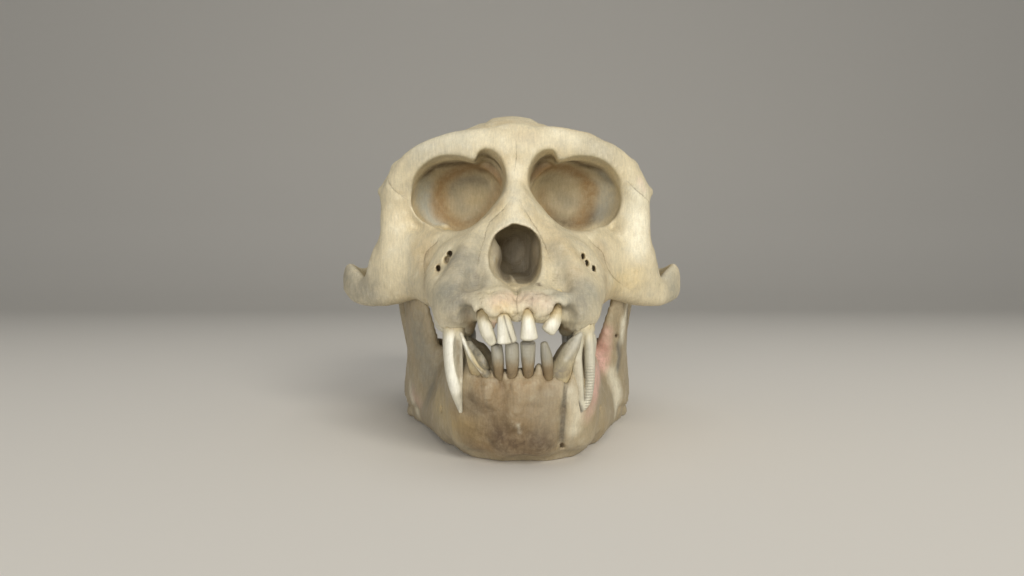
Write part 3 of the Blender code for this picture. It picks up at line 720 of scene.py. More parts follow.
# Points of bone between the lower incisors, and the swellings of the chin's corners: centre, radii
# and softness
JAW_POINTS = (
    ((7.4, 6.5, 14.8), (2.4, 2.2, 2.6), 1.5), ((-5.8, 6.6, 14.6), (2.6, 2.2, 2.4), 1.5),
    ((4.1, 5.8, 18.6), (0.9, 1.4, 1.9), 0.6), ((-2.3, 5.8, 18), (0.7, 1.4, 1.1), 0.6),
    ((0.5, 5.6, 18.2), (0.7, 1.4, 1.4), 0.6), ((-5, 6.6, 18), (0.8, 1.4, 1), 0.6),
)

# Marks of the lower jaw's front, as pixels: the grooves, holes and scratches that the photo shows
CHIN_GROOVE = ((566.5, 376), (565, 392), (563.5, 410), (562, 428), (561, 442))
FAINT_GROOVE = ((479, 378), (483, 392), (487, 406), (491, 420))
SCRATCH = ((522, 428), (524, 436))
CHIN_HOLE = (562.5, 446)
JAW_HOLLOWS = ((504, 396), (548, 398), (497, 424), (522, 440), (546, 428), (470, 410))
JAW_SWELLS = (
    ((515, 380), (516, 400), (517, 420)), ((500, 440), (520, 448), (542, 446)),
    ((492, 378), (490, 392)), ((533, 380), (534, 396)),
)
BRANCH_HOLE = (616.5, 336)
BRANCH_GROOVES = (
    ((418, 318), (422, 345), (428, 370), (434, 392)),
    ((428, 332), (436, 350), (441, 372), (444, 392)),
    ((599, 352), (603, 372), (604, 392), (601, 410)),
)


def mark_jaw(clay):
    clay.press(line(seen(clay, CHIN_GROOVE), 0.45), 0.8, 0.6)
    clay.press(line(seen(clay, FAINT_GROOVE), 0.3), 0.3, 1)
    for place in seen(clay, JAW_HOLLOWS):
        clay.press(ball(place, (1.2, 1, 1.6)), 0.45, 2.6)
    for pixels in JAW_SWELLS:
        clay.press(line(seen(clay, pixels), 0.6), -0.45, 2.2)
    clay.press(line(seen(clay, SCRATCH), 0.1), 0.15, 0.6)
    for pixels in BRANCH_GROOVES:
        clay.press(line(seen(clay, pixels), 0.5), 0.35, 2.2)
    for place in seen(clay, (CHIN_HOLE, BRANCH_HOLE)):
        clay.cut(ball(place, (0.5, 2, 0.55)), 0.2)
    side_hole = bar(((18.5, 24, 8.4, 0.8, 0.7), (15, 27, 8, 0.6, 0.5)))
    on_both(clay.cut, JAW_SHIFT, side_hole, 0.4)
    on_both(clay.cut, JAW_SHIFT, ball((1.6, 17.5, 5), (1.2, 2, 1.6)), 1)
    for first, last, depth in EDGE_DEPTHS:
        edge = line([(*point, 0) for point in JAW_EDGE[first:last]], 0.4)
        on_both(clay.press, JAW_SHIFT, edge, depth, 4.5)
    ridge = bar(((11.5, 34, 11, 0.4, 0.4), (15.5, 46, 13, 0.5, 0.5), (21.5, 57, 18, 0.4, 0.4)))
    on_both(clay.press, JAW_SHIFT, ridge, -0.7, 2)


def shape_jaw(teeth):
    clay = Clay(*JAW_BLOCK, JAW_STEP)
    shape_jaw_body(clay)
    shape_jaw_branch(clay)
    mark_jaw(clay)
    for centre, radii, blend in JAW_POINTS:
        clay.add(ball(centre, radii), blend)
    cut_sockets(clay, teeth)
    height = clay.low[2] + clay.step * np.arange(clay.count[2])
    clay.distances = np.maximum(clay.distances, -height).astype(np.float32)
    return clay


# Incisors. Rows run from root to tip: x, y, z, half width, half thickness
INCISORS = {
    "upper_right_second": (
        (-7.0, 6.6, 33.4, 0.8, 0.9), (-6.7, 4.6, 30.8, 1.0, 1.4), (-6.3, 3.6, 28.4, 1.25, 1.45),
        (-5.6, 3.0, 26.2, 1.25, 1.2), (-4.7, 2.6, 24.6, 0.95, 0.6),
    ),
    "upper_right_first": (
        (-3.3, 5.0, 32.8, 0.8, 0.9), (-2.7, 2.7, 29.6, 1.1, 1.4), (-2.3, 1.9, 27.2, 1.5, 1.3),
        (-2.0, 1.4, 24.9, 1.85, 0.6),
    ),
    "upper_left_first": (
        (1.7, 5.0, 32.8, 0.8, 0.9), (1.8, 2.6, 29.8, 1.05, 1.4), (1.9, 1.8, 27.6, 1.35, 1.35),
        (2.0, 1.2, 25.6, 1.65, 0.7),
    ),
    "upper_left_second": (
        (7.9, 7.0, 33.6, 0.7, 0.9), (7.45, 4.8, 31.2, 0.85, 1.3), (7.1, 3.7, 29.6, 1.15, 1.4),
        (6.5, 3.0, 28.1, 1.4, 1.2), (5.7, 2.4, 26.9, 1.4, 0.7),
    ),
    "lower_right_second": (
        (-3.3, 8.4, 14.9, 0.8, 0.9), (-3.5, 6.0, 18.0, 0.9, 1.5), (-3.7, 4.9, 21.0, 1.15, 1.4),
        (-3.95, 4.2, 23.6, 1.1, 0.6),
    ),
    "lower_right_first": (
        (-1.0, 8.0, 14.8, 0.8, 0.9), (-1.0, 5.6, 17.8, 0.95, 1.5), (-1.0, 4.4, 21.0, 1.3, 1.4),
        (-1.1, 3.6, 24.0, 1.3, 0.6),
    ),
    "lower_left_first": (
        (2.0, 8.0, 14.8, 0.8, 0.9), (2.0, 5.6, 17.8, 0.9, 1.5), (1.95, 4.4, 21.2, 1.3, 1.4),
        (1.9, 3.6, 24.2, 1.45, 0.7),
    ),
    "lower_left_second": (
        (5.8, 8.4, 14.9, 0.8, 0.9), (5.8, 6.0, 18.0, 0.95, 1.5), (5.5, 4.9, 21.2, 1.15, 1.4),
        (5.0, 4.2, 23.9, 0.75, 0.7),
    ),
}

# Cheek teeth: how far back and how far out each is, half its width and half its length
UPPER_CHEEK_TEETH = {
    "first_premolar": (14.6, 12.3, 2.6, 2.6),
    "second_premolar": (20.3, 13.5, 3.0, 2.7),
    "first_molar": (27.0, 14.3, 3.3, 3.5),
    "second_molar": (35.0, 14.8, 3.7, 4.0),
    "third_molar": (43.4, 15.0, 3.6, 3.8),
}
LOWER_CHEEK_TEETH = {
    "first_premolar": (15.2, 12.2, 2.1, 2.8),
    "second_premolar": (21.1, 12.8, 2.3, 2.7),
    "first_molar": (27.8, 13.5, 2.9, 3.5),
    "second_molar": (35.9, 13.8, 3.2, 4.0),
    "third_molar": (44.9, 13.8, 3.1, 4.4),
}
# Of each row: the jaw, its teeth, its shift to the side, and the heights of its gum and its bite
CHEEK_ROWS = (
    ("upper", UPPER_CHEEK_TEETH, 0.0, 31.2, 25.7),
    ("lower", LOWER_CHEEK_TEETH, JAW_SHIFT, 19.8, 24.9),
)
CHEEK_ROOT = 5.0


def joined(*shapes):
    return Shape([part for shape in shapes for part in shape.parts])


def tooth_clay(first, *others):
    """A block with room for all these shapes, filled with the first."""
    whole = joined(first, *others)
    clay = Clay(whole.low - 1, whole.high + 1, TOOTH_STEP)
    clay.add(first, 0)
    return clay


def shape_incisor(rows):
    root = bar(rows, up=BACK, power=2.4)
    return tooth_clay(root), root


def right_upper_canine():
    """Whole, with a hollow along its inner side; its marks paint the outer body bright as a highlight
    and the inner side partly darker as shade.
    """
    root = prong((
        (-11.0, 12.6, 35.4, 1.4, 1.7), (-12.0, 9.6, 31.0, 2.1, 2.6), (-12.3, 8.5, 26.0, 2.1, 2.6),
        (-12.2, 7.9, 20.0, 1.85, 2.2), (-11.8, 7.8, 15.5, 1.3, 1.5), (-10.9, 8.0, 10.9, 0.4, 0.5),
    ))
    clay = tooth_clay(root)
    hollow = ((-11.5, 5.9, 26, 0.3, 0.4), (-11.3, 6, 24, 0.8, 1), (-11.2, 6.2, 21, 0.9, 1.1),
              (-10.9, 6.5, 18.4, 0.7, 0.9), (-10.6, 6.9, 16.2, 0.3, 0.4))
    clay.cut(bar(hollow, up=BACK), 0.3)
    return clay, root


def left_upper_canine():
    """Split lengthwise in two blades, of which the outer one is ribbed across."""
    root = prong((
        (11.0, 12.6, 35.4, 1.4, 1.7), (12.4, 9.6, 31.0, 2.1, 2.6), (13.1, 8.5, 26.8, 2.0, 2.5),
    ))
    inner = prong((
        (12.3, 8.6, 27.0, 1.3, 1.8), (11.4, 7.4, 22.0, 1.1, 1.5), (11.7, 7.0, 17.0, 1.0, 1.3),
        (12.1, 7.2, 13.4, 0.75, 1.0), (12.4, 7.6, 11.0, 0.35, 0.5),
    ))
    outer = prong((
        (13.6, 8.4, 27.2, 1.1, 1.8), (13.9, 7.9, 22.0, 1.05, 1.7), (13.95, 7.7, 17.5, 1.0, 1.5),
        (13.5, 7.7, 13.4, 0.9, 1.1), (12.9, 7.8, 11.5, 0.5, 0.6),
    ))
    clay = tooth_clay(root, inner, outer)
    clay.add(inner, 0.5)
    clay.add(outer, 0.15)
    clay.cut(line(((12.7, 5.6, 21.4), (12.85, 5.6, 17), (12.9, 6.2, 12.6)), 0.12), 0.1)
    return clay, root


def right_lower_canine():
    """A thin bright edge that curves down from its tip, with a hollowed body behind it that its marks
    paint grey as shade.
    """
    edge = prong((
        (-5.2, 7.0, 17.2, 1.1, 1.3), (-6.6, 4.9, 19.2, 0.7, 0.9), (-8.4, 3.9, 21.6, 0.55, 0.8),
        (-9.7, 3.7, 24.0, 0.45, 0.7), (-10.6, 4.0, 26.0, 0.35, 0.5),
    ))
    body = prong((
        (-6.8, 10.9, 12.8, 1.1, 1.3), (-6.8, 8.6, 17.2, 1.9, 1.6), (-7.7, 6.4, 20.6, 1.8, 1.4),
        (-9.2, 5.6, 23.6, 1.0, 1.0),
    ))
    clay = tooth_clay(body, edge)
    clay.add(edge, 0.5)
    clay.cut(ball((-6.5, 4.4, 21.6), (1.5, 1.5, 2.6), (0, -30, 0)), 0.3)
    return clay, joined(body, edge)


def left_lower_canine():
    root = prong((
        (8.0, 10.9, 12.8, 1.2, 1.3), (7.9, 7.4, 17.2, 2.2, 2), (9.0, 5.6, 20.8, 1.7, 1.8),
        (10.3, 4.5, 23.6, 1.4, 1.4), (11.7, 3.9, 25.9, 0.5, 0.6),
    ))
    clay = tooth_clay(root)
    clay.press(line(((9.2, 3.6, 19.4), (10.4, 3, 22.6), (11.4, 3.1, 24.8)), 0.3), 0.25, 1)
    return clay, root


def shape_cheek_tooth(x, y, gum, bite, wide, long):
    """A tooth with a cross valley between its front and rear pair of cusps."""
    away = math.copysign(1, bite - gum)
    root = bar((
        (0.9 * x, y + 0.4, gum - away * CHEEK_ROOT, 1.6, 0.6 * long),
        (x, y, gum - away * 0.8, 2.2, 0.76 * long),
        (x, y, gum + away * 0.8, 0.92 * wide, 0.94 * long),
    ), up=BACK, power=2.6, steps=4)
    crown = bar((
        (x, y, gum + away * 0.8, 0.9 * wide, 0.92 * long),
        (x, y, gum + away * 2.4, wide, long),
        (x, y, bite - away * 2, 0.84 * wide, 0.94 * long),
    ), up=BACK, power=3, steps=4)
    clay = tooth_clay(root, crown, ball((x, y, bite), (wide, long, 1)))
    clay.add(crown, 0.8)
    for out in (-0.52, 0.52):
        for back in (-0.5, 0.5):
            tip = (x + out * wide, y + back * long, bite - away * 1.8)
            clay.add(ball(tip, (0.42 * wide, 0.44 * long, 1.9)), 0.9)
    clay.cut(bar(((x - 1.3 * wide, y, bite, 0.5, 0.9), (x + 1.3 * wide, y, bite, 0.5, 0.9))), 0.7)
    clay.cut(bar(((x, y - 0.7 * long, bite, 0.35, 0.8), (x, y + 0.7 * long, bite, 0.35, 0.8))), 0.7)
    for back in (-0.62, 0.62):
        clay.cut(ball((x, y + back * long, bite), (0.5, 0.7, 1)), 0.5)
    return clay, joined(root, crown)


def all_teeth():
    """Each tooth's name with its clay and the shape that its socket is cut to."""
    teeth = {name + "_incisor": shape_incisor(rows) for name, rows in INCISORS.items()}
    teeth["upper_right_canine"] = right_upper_canine()
    teeth["upper_left_canine"] = left_upper_canine()
    teeth["lower_right_canine"] = right_lower_canine()
    teeth["lower_left_canine"] = left_lower_canine()
    for side_name, side in (("right", -1), ("left", 1)):
        for level, rows, shift, gum, bite in CHEEK_ROWS:
            for name, (back, out, wide, long) in rows.items():
                made = shape_cheek_tooth(side * out + shift, back, gum, bite, wide, long)
                teeth["%s_%s_%s" % (level, side_name, name)] = made
    return teeth


# Stains and worn places, with painted shade and highlights where marked below. Each row holds
# pixels of the photo that a soft-edged stroke runs through, its reach in millimetres and its strength
CRANIUM_MARKS = {
    "brown": (
        (((520, 136), (533, 138)), 3.0, 0.3),
        (((466, 312), (470, 322), (474, 333)), 1.6, 0.8),
        (((554, 320), (560, 326), (568, 329)), 1.6, 0.9),
        (((430, 250), (424, 262), (424, 280)), 3.0, 0.35),
        (((470, 290), (462, 305), (460, 318)), 4.0, 0.4),
        (((458, 260), (468, 278), (456, 300)), 6.0, 0.35),
        (((344, 274), (354, 286), (368, 292)), 6.0, 0.3),
        (((600, 250), (606, 264), (606, 284)), 4.0, 0.35),
        (((575, 270), (572, 290), (580, 306)), 4.0, 0.35),
    ),
    "grey": (
        (((456, 256), (468, 268), (472, 288)), 7.0, 0.9),
        (((448, 290), (460, 308)), 7.0, 1.0),
        (((586, 290), (580, 306), (566, 300)), 6.5, 0.9),
        (((590, 146), (606, 152)), 6.0, 0.5),
        (((420, 152), (440, 146), (460, 142)), 6.0, 0.5),
        (((510, 176), (516, 200)), 2.4, 0.2),
        (((346, 276), (356, 288), (368, 292)), 8.0, 0.8),
        (((670, 276), (674, 294)), 6.0, 0.7),
        (((454, 188), (466, 181), (484, 184)), 4.0, 0.9),
        (((458, 192), (460, 208)), 3.4, 0.7),
        (((546, 180), (556, 186), (568, 200)), 4.0, 0.8),
        (((480, 240), (476, 256), (472, 272)), 3.0, 0.5),
        (((553, 246), (560, 262), (562, 280)), 3.0, 0.45),
    ),
    "slate": (
        (((422, 182), (420, 198), (430, 214), (436, 222)), 4.6, 1.0),
        (((428, 186), (430, 204), (436, 214)), 3.4, 0.9),
        (((604, 176), (610, 194), (602, 214)), 4.2, 0.75),
        (((598, 184), (600, 204)), 3.0, 0.5),
    ),
    "rust": (
        (((440, 214), (439, 198), (441, 184), (452, 174), (466, 168), (480, 167), (492, 168),
          (499, 180)), 4.0, 1.0),
        (((440, 204), (446, 218), (458, 226), (472, 226)), 4.4, 0.9),
        (((474, 222), (488, 208), (499, 190)), 3.4, 0.7),
        (((538, 172), (554, 167), (570, 169), (582, 175), (589, 188)), 4.2, 1.0),
        (((590, 188), (588, 204), (580, 219), (566, 228)), 4.0, 0.9),
        (((540, 196), (548, 212), (560, 226)), 3.4, 0.7),
    ),
    "ochre": (
        (((464, 196), (484, 192), (478, 206), (460, 208)), 5.5, 0.9),
        (((550, 182), (566, 190), (560, 208)), 6.5, 0.9),
    ),
    "yellow": (
        (((470, 202), (484, 198)), 2.4, 0.5),
        (((439, 227), (448, 229)), 1.7, 1.0),
        (((498, 308), (504, 305), (508, 312)), 1.6, 0.6),
        (((496, 262), (495, 257)), 0.8, 1.0),
        (((618, 282), (632, 280)), 6.0, 0.4),
    ),
    "pink": (
        (((498, 300), (512, 296), (528, 298), (544, 302)), 3.4, 0.35),
        (((494, 322), (495, 329)), 0.9, 0.8),
        (((640, 182), (644, 190)), 1.8, 0.4),
    ),
    # Partly painted highlight: the rows along the brow's top, down the right cheek pillar and the small
    # spot at the nose's left wall; the rest are pale bone
    "pale": (
        (((516, 168), (515, 190), (514, 210), (514, 222)), 3.2, 0.5),
        (((404, 196), (400, 224), (398, 246)), 6.0, 0.25),
        (((636, 196), (638, 222), (640, 246)), 6.0, 0.9),
        (((420, 146), (450, 138), (480, 136)), 5.0, 0.4),
        (((500, 140), (516, 144), (540, 142)), 4.0, 0.25),
        (((556, 134), (574, 138)), 4.0, 0.4),
        (((494, 260), (495, 256)), 0.7, 0.8),
        (((516, 279), (526, 277), (533, 270)), 2.4, 0.8),
        (((522, 272), (523, 262)), 1.0, 0.5),
    ),
    "line": [(pixels, 0.12, 0.45) for pixels in FACE_SEAMS],
    "porous": (
        (((478, 300), (500, 302), (520, 300), (545, 300), (552, 312)), 5.0, 0.8),
        (((616, 222), (624, 232), (618, 242)), 4.0, 0.3),
    ),
    # Painted shade: the dark rows lie in the cheek holes and a small hole by the nose, under and along
    # the eye sockets' rims, and inside the nose
    "dark": (
        *[((place,), 1.4, 1.0) for place in CHEEK_HOLES],
        (((424, 176), (436, 167), (454, 164), (470, 164)), 3.2, 0.95),
        (((562, 163), (582, 164), (598, 169), (609, 180)), 3.2, 0.95),
        (((478, 158), (490, 157), (499, 166)), 2.6, 0.9),
        (((537, 166), (543, 158), (553, 158)), 2.6, 0.9),
        (((498, 244), (500, 254), (499, 264), (501, 273)), 2.4, 0.9),
        (((481, 170), (490, 168), (498, 178)), 2.2, 0.8),
        (((532, 178), (540, 168), (550, 166)), 2.2, 0.8),
        (((446, 218), (460, 224), (474, 220)), 3.4, 0.5),
        (((552, 216), (566, 223), (584, 222), (596, 216)), 4.4, 0.9),
        (((538, 284), (540, 286)), 0.8, 0.8),
    ),
}
JAW_MARKS = {
    "brown": (
        (((490, 392), (500, 412), (505, 436)), 8.0, 0.65),
        (((540, 392), (538, 415), (530, 440)), 8.0, 0.45),
        (((455, 420), (470, 432), (486, 446)), 6.0, 0.7),
        (((480, 380), (520, 384), (552, 380)), 3.0, 0.5),
    ),
    "grey": (
        (((416, 330), (424, 360), (430, 392)), 6.0, 0.7),
        (((619, 345), (619, 356), (618, 368)), 1.9, 1.0),
        (((566, 376), (564, 400), (561, 440)), 1.2, 0.7),
        (((548, 394), (544, 412), (546, 432)), 5.0, 0.35),
    ),
    "yellow": (
        (((436, 400), (450, 420), (470, 430)), 6.0, 0.4),
        (((575, 420), (590, 426), (606, 420)), 6.0, 0.1),
    ),
    "pink": (
        (((603, 334), (601, 346)), 4.0, 1.0),
        (((600, 352), (600, 360)), 4.0, 1.0),
        (((600, 364), (598, 372)), 4.0, 1.0),
        (((596, 380), (594, 390)), 4.0, 0.9),
        (((596, 395), (590, 410)), 4.0, 0.5),
        (((412, 392), (420, 404)), 3.0, 0.3),
    ),
    "pale": (
        (((612, 376), (618, 392), (616, 410)), 4.0, 0.8),
        (((518, 425), (520, 433)), 0.5, 0.8),
        (((627, 304), (624, 320), (622, 336)), 3.4, 1.0),
        (((572, 392), (578, 410), (574, 430)), 3.0, 0.5),
        (((409, 384), (412, 400), (418, 412)), 2.0, 0.5),
    ),
    "line": (
        (CHIN_GROOVE, 0.42, 0.9),
        (FAINT_GROOVE, 0.3, 0.25),
        (((621, 342), (621, 356), (619, 370)), 0.5, 0.4),
    ),
    # Painted shade: the row along the chin's underside, and the two holes
    "dark": (
        (((500, 438), (520, 446), (545, 445)), 5.5, 0.95),
        ((CHIN_HOLE,), 0.8, 1.0),
        ((BRANCH_HOLE,), 1.3, 1.0),
        (((617, 345), (620, 356), (617, 366)), 1.6, 0.45),
        (((470, 408), (482, 424), (470, 440)), 7.0, 0.6),
        (((492, 400), (516, 414), (508, 430)), 9.0, 0.3),
        (((496, 378), (502, 386)), 1.4, 0.5),
    ),
}
TOOTH_MARKS = {
    "upper_right_first_incisor": {
        "dark": ((((504, 316), (506, 324), (509, 334), (512, 343)), 0.28, 0.9),),
        "grey": ((((512, 322), (515, 334), (516, 342)), 0.9, 0.6),),
        "pale": ((((499, 320), (501, 334), (502, 341)), 1.3, 0.9),),
    },
    "upper_left_first_incisor": {
        "brown": ((((523, 312), (533, 312)), 1.2, 0.5),),
        "pale": ((((528, 322), (530, 336)), 1.6, 0.8),),
    },
    "upper_left_second_incisor": {
        "brown": ((((553, 308), (550, 318), (545, 326)), 0.7, 0.6),),
        "pale": ((((552, 324), (546, 333)), 1.6, 0.9),),
    },
    "upper_right_second_incisor": {
        "pale": ((((484, 324), (488, 334)), 0.8, 0.3),),
        "grey": ((((490, 340), (494, 346)), 1.2, 0.3),),
        "brown": ((((477, 312), (480, 316)), 1.2, 0.6),),
    },
    "upper_right_canine": {
        # The pale strip down the outer side is painted highlight, and the first brown strip, down the
        # inner side, is partly painted shade
        "brown": (
            (((458, 342), (458, 360), (460, 376)), 0.9, 0.7),
            (((452, 328), (464, 330)), 1.2, 0.6),
        ),
        "grey": ((((460, 396), (459, 408)), 1.2, 0.5),),
        "pale": ((((450, 340), (451, 362), (454, 388)), 2.2, 0.95),),
    },
    "upper_left_canine": {
        "grey": ((((588, 346), (590, 366), (588, 396)), 1.4, 0.35),),
        "brown": ((((577, 362), (578, 380), (580, 398)), 0.9, 0.5),),
        "dark": (
            (((578, 402), (581, 411)), 0.9, 0.8),
            # Painted shade in the split between the two blades
            (((583, 372), (584, 390), (585, 400)), 0.35, 0.8),
        ),
    },
    "lower_right_canine": {
        # Painted shade: the grey rows darken the inner face
        "grey": (
            (((470, 346), (480, 358), (488, 370)), 3.0, 1.0),
            (((486, 376), (490, 366)), 1.4, 0.6),
        ),
        "pale": ((((463, 340), (468, 354), (475, 366), (480, 372)), 0.6, 0.85),),
    },
    "lower_left_canine": {
        "pale": ((((580, 336), (574, 348), (566, 360)), 0.8, 0.35),),
        # Painted shade: the grey row darkens the inner face
        "grey": ((((578, 340), (568, 356), (558, 372)), 3.4, 0.8),),
        "brown": ((((556, 378), (566, 372)), 1.6, 0.5),),
    },
    "lower_left_first_incisor": {
        "dark": ((((523, 343.5), (534, 343.5)), 0.5, 0.8),),
        "brown": (
            (((524, 360), (524, 372), (530, 384)), 1.0, 0.5),
            (((533, 366), (532, 380)), 0.8, 0.4),
        ),
    },
    "lower_right_second_incisor": {
        "brown": ((((498, 364), (497, 378)), 1.1, 0.5),),
        "dark": ((((498, 346), (504, 346)), 0.4, 0.5),),
    },
    "lower_right_first_incisor": {
        "brown": ((((506, 372), (512, 380)), 1.2, 0.5),),
    },
    "lower_left_second_incisor": {
        "grey": ((((544, 348), (546, 358)), 1.0, 0.6),),
        "brown": ((((547, 372), (550, 380)), 1.2, 0.5),),
    },
}
# Where the bone is pitted and broken, in the same form as the stains
ROUGH_PLACES = {
    "cranium": (
        (((476, 312), (490, 314), (504, 310), (518, 318), (532, 312), (542, 318),
          (556, 312)), 2.2, 1.0),
        (((500, 296), (520, 294), (540, 298), (552, 304)), 3.0, 0.6),
        (((448, 328), (464, 330)), 1.8, 0.9),
        (((576, 328), (590, 330)), 1.8, 0.9),
        (((556, 322), (568, 330)), 2.4, 1.0),
        (((496, 276), (506, 284)), 1.5, 0.5),
        (((614, 220), (626, 232), (618, 246)), 4.0, 0.35),
        (((388, 176), (392, 186), (398, 196)), 2.0, 0.5),
        (((634, 180), (642, 188)), 2.0, 0.5),
        (((440, 228), (450, 230)), 1.6, 0.8),
    ),
    "mandible": (
        (((480, 378), (500, 384), (520, 386), (545, 382), (556, 376)), 2.0, 0.8),
        (((490, 400), (515, 410), (540, 402)), 7.0, 0.25),
    ),
}
# How deep the waves of sound bone and the pits of broken bone are, and how fine
WAVE_DEPTH, WAVE_SCALE = 0.1, 0.42
PIT_DEPTH, PIT_SCALE = 0.5, 0.9

# How far from a thin line its numbers reach, in millimetres, and the most half widths that they hold
LINE_REACH = 2.4
LINE_SIDE = 6

# The spaces of an eye socket, of the shade under its roof and of the nose, as ellipsoids
SOCKET_MIDDLE = np.array((14, 47, 56.8))
SOCKET_REACH = (14, 9, 11.5)
ROOF_REACH = (16, 10.5, 14)
NOSE_MIDDLE = (0, 32, 41.2)
NOSE_REACH = (8.4, 19, 10)

# The height at which a tooth's enamel meets its root, and how far the root's colour fades out
ENAMEL_EDGE = {"upper": 31, "lower": 18.6}
CANINE_FADE = 9
TOOTH_FADE = 4
NECK_REACH = 1.6

# The part of the split canine that is ribbed, outside of an x and below a z, and how many radians
# of ripple a millimetre of it has
RIBBED_OUTSIDE = 12.8
RIBBED_BELOW = 20.6
RIBS = 11.5

# Colours from 0 to 255. Of a bone: itself, its tan and its pale patches, which also pale its ridges
# as painted light, soil, which also darkens its hollows as painted shade, its thin lines, and how
# many half widths those lines wander
BONE = ((214, 202, 170), (206, 184, 140), (236, 230, 208), (146, 126, 96), (112, 92, 68), 6.0)
# The jaw's colours are darker than the skull's: browner bone, and painted shade as well
JAW_BONE_SHADED = ((174, 160, 132), (158, 138, 104), (200, 192, 168), (110, 94, 72), (116, 108, 92), 0.5)
# Of a tooth: its crown, root and neck, and soil, which also darkens its hollows as painted shade
ENAMEL = ((216, 211, 190), (212, 196, 154), (172, 150, 112), (150, 134, 104))
GREY_ENAMEL = ((160, 155, 138), (142, 124, 94), (116, 98, 74), (104, 94, 80))

# What strokes of each kind leave: a colour and, on bone, its strength. Most dark strokes are
# painted shade, some pale ones painted highlights, and on teeth some grey ones painted shade
BONE_STAINS = {
    "brown": ((150, 118, 74), 0.8), "grey": ((142, 141, 130), 0.8), "yellow": ((224, 198, 134), 0.8),
    "pink": ((230, 186, 174), 0.75), "pale": ((248, 244, 222), 0.75), "dark": ((84, 68, 52), 0.85),
    "ochre": ((192, 178, 144), 0.8), "slate": ((196, 196, 184), 0.95), "rust": ((174, 144, 102), 0.85),
}
SOCKET_STAINS = ("ochre", "slate", "rust")
TOOTH_STAINS = {
    "brown": (142, 122, 88), "grey": (136, 132, 120), "pale": (252, 250, 236), "dark": (66, 56, 46),
}
GREY_FILM = (176, 172, 156)
ROOF_SHADE = (66, 54, 50)
NOSE_SHADE = (156, 146, 130)
# Dirt and painted shade that darken the hollows
HOLLOW_DIRT_AND_SHADE = (96, 76, 54)
PIT_DIRT = (150, 126, 96)


def corners_of(thing):
    """A mesh's corners in millimetres, in the frame that the shapes are set out in."""
    flat = np.empty(3 * len(thing.data.vertices), np.float32)
    thing.data.vertices.foreach_get("co", flat)
    return flat.reshape(-1, 3) / MM - SHIFT


def facing_of(thing):
    flat = np.empty(3 * len(thing.data.vertices), np.float32)
    thing.data.vertex_normals.foreach_get("vector", flat)
    return flat.reshape(-1, 3)


def marked(points, clay, strokes):
    """How much points are covered by strokes through the photo's pixels, from 0 to 1."""
    bare = np.ones(len(points))
    for pixels, reach, strength in strokes:
        bare *= 1 - strength * stroke(points, seen(clay, pixels), reach)
    return 1 - bare


def weather(thing, clay, rough):
    """Roughens a skin a little all over, and more along the strokes of rough."""
    points = corners_of(thing)
    broken = marked(points, clay, rough)
    bumps = []
    for point, much in zip(points.tolist(), broken.tolist()):
        wave = noise.fractal(Vector(point) * WAVE_SCALE, 0.9, 2.1, 3)
        pit = noise.turbulence(Vector(point) * PIT_SCALE, 3, True)
        bumps.append(wave * (1 - much) + pit * much)
    depth = WAVE_DEPTH + PIT_DEPTH * broken
    moved = points + facing_of(thing) * (depth * np.array(bumps))[:, None]
    if thing.name.startswith("mandible"):
        moved[:, 2] = np.maximum(moved[:, 2], 0)
    thing.data.vertices.foreach_set("co", ((moved + SHIFT) * MM).astype(np.float32).ravel())
    thing.data.update()


def stroke(points, places, reach):
    """1 on a line through places, falling softly to 0 at its reach."""
    near = np.full(len(points), FAR ** 2)
    if len(places) == 1:
        places = (places[0], places[0] + 0.01)
    for start, end in zip(places, places[1:]):
        run = end - start
        along = np.clip((points - start).dot(run) / max(run.dot(run), 1e-6), 0, 1)
        near = np.minimum(near, ((points - start - along[:, None] * run) ** 2).sum(axis=1))
    amount = np.clip(1 - np.sqrt(near) / reach, 0, 1)
    return amount * amount * (3 - 2 * amount)


def beside(points, paths):
    """How far points lie to one side of the nearest line, in its half widths, and its strength."""
    nearest = np.full(len(points), FAR ** 2)
    offset = np.full(len(points), FAR)
    amount = np.zeros(len(points))
    for places, half_width, strength in paths:
        for place, (start, end) in enumerate(zip(places, places[1:])):
            run = end - start
            from_end = min(place + 1, len(places) - 1 - place) / (0.2 * len(places))
            away = points - start
            away = away - np.clip(away.dot(run) / run.dot(run), 0, 1)[:, None] * run
            far = (away ** 2).sum(axis=1)
            across = np.cross(run, (0, 1, 0))
            closer = far < nearest
            nearest[closer] = far[closer]
            offset[closer] = away[closer].dot(across / np.linalg.norm(across)) / half_width
            amount[closer] = strength * min(from_end, 1)
    near = np.clip(1 - np.sqrt(nearest) / LINE_REACH, 0, 1)
    return np.clip(offset, -LINE_SIDE, LINE_SIDE), amount * np.clip(3 * near, 0, 1)


def within(points, middle, radii, edge):
    """1 inside an ellipsoid and 0 outside of it, with a soft edge."""
    offset = (points - middle) / radii
    return np.clip((1 - (offset ** 2).sum(axis=1)) / edge, 0, 1)


def write_number(thing, name, values):
    layer = thing.data.attributes.new(name, "FLOAT", "POINT")
    layer.data.foreach_set("value", np.asarray(values, np.float32))


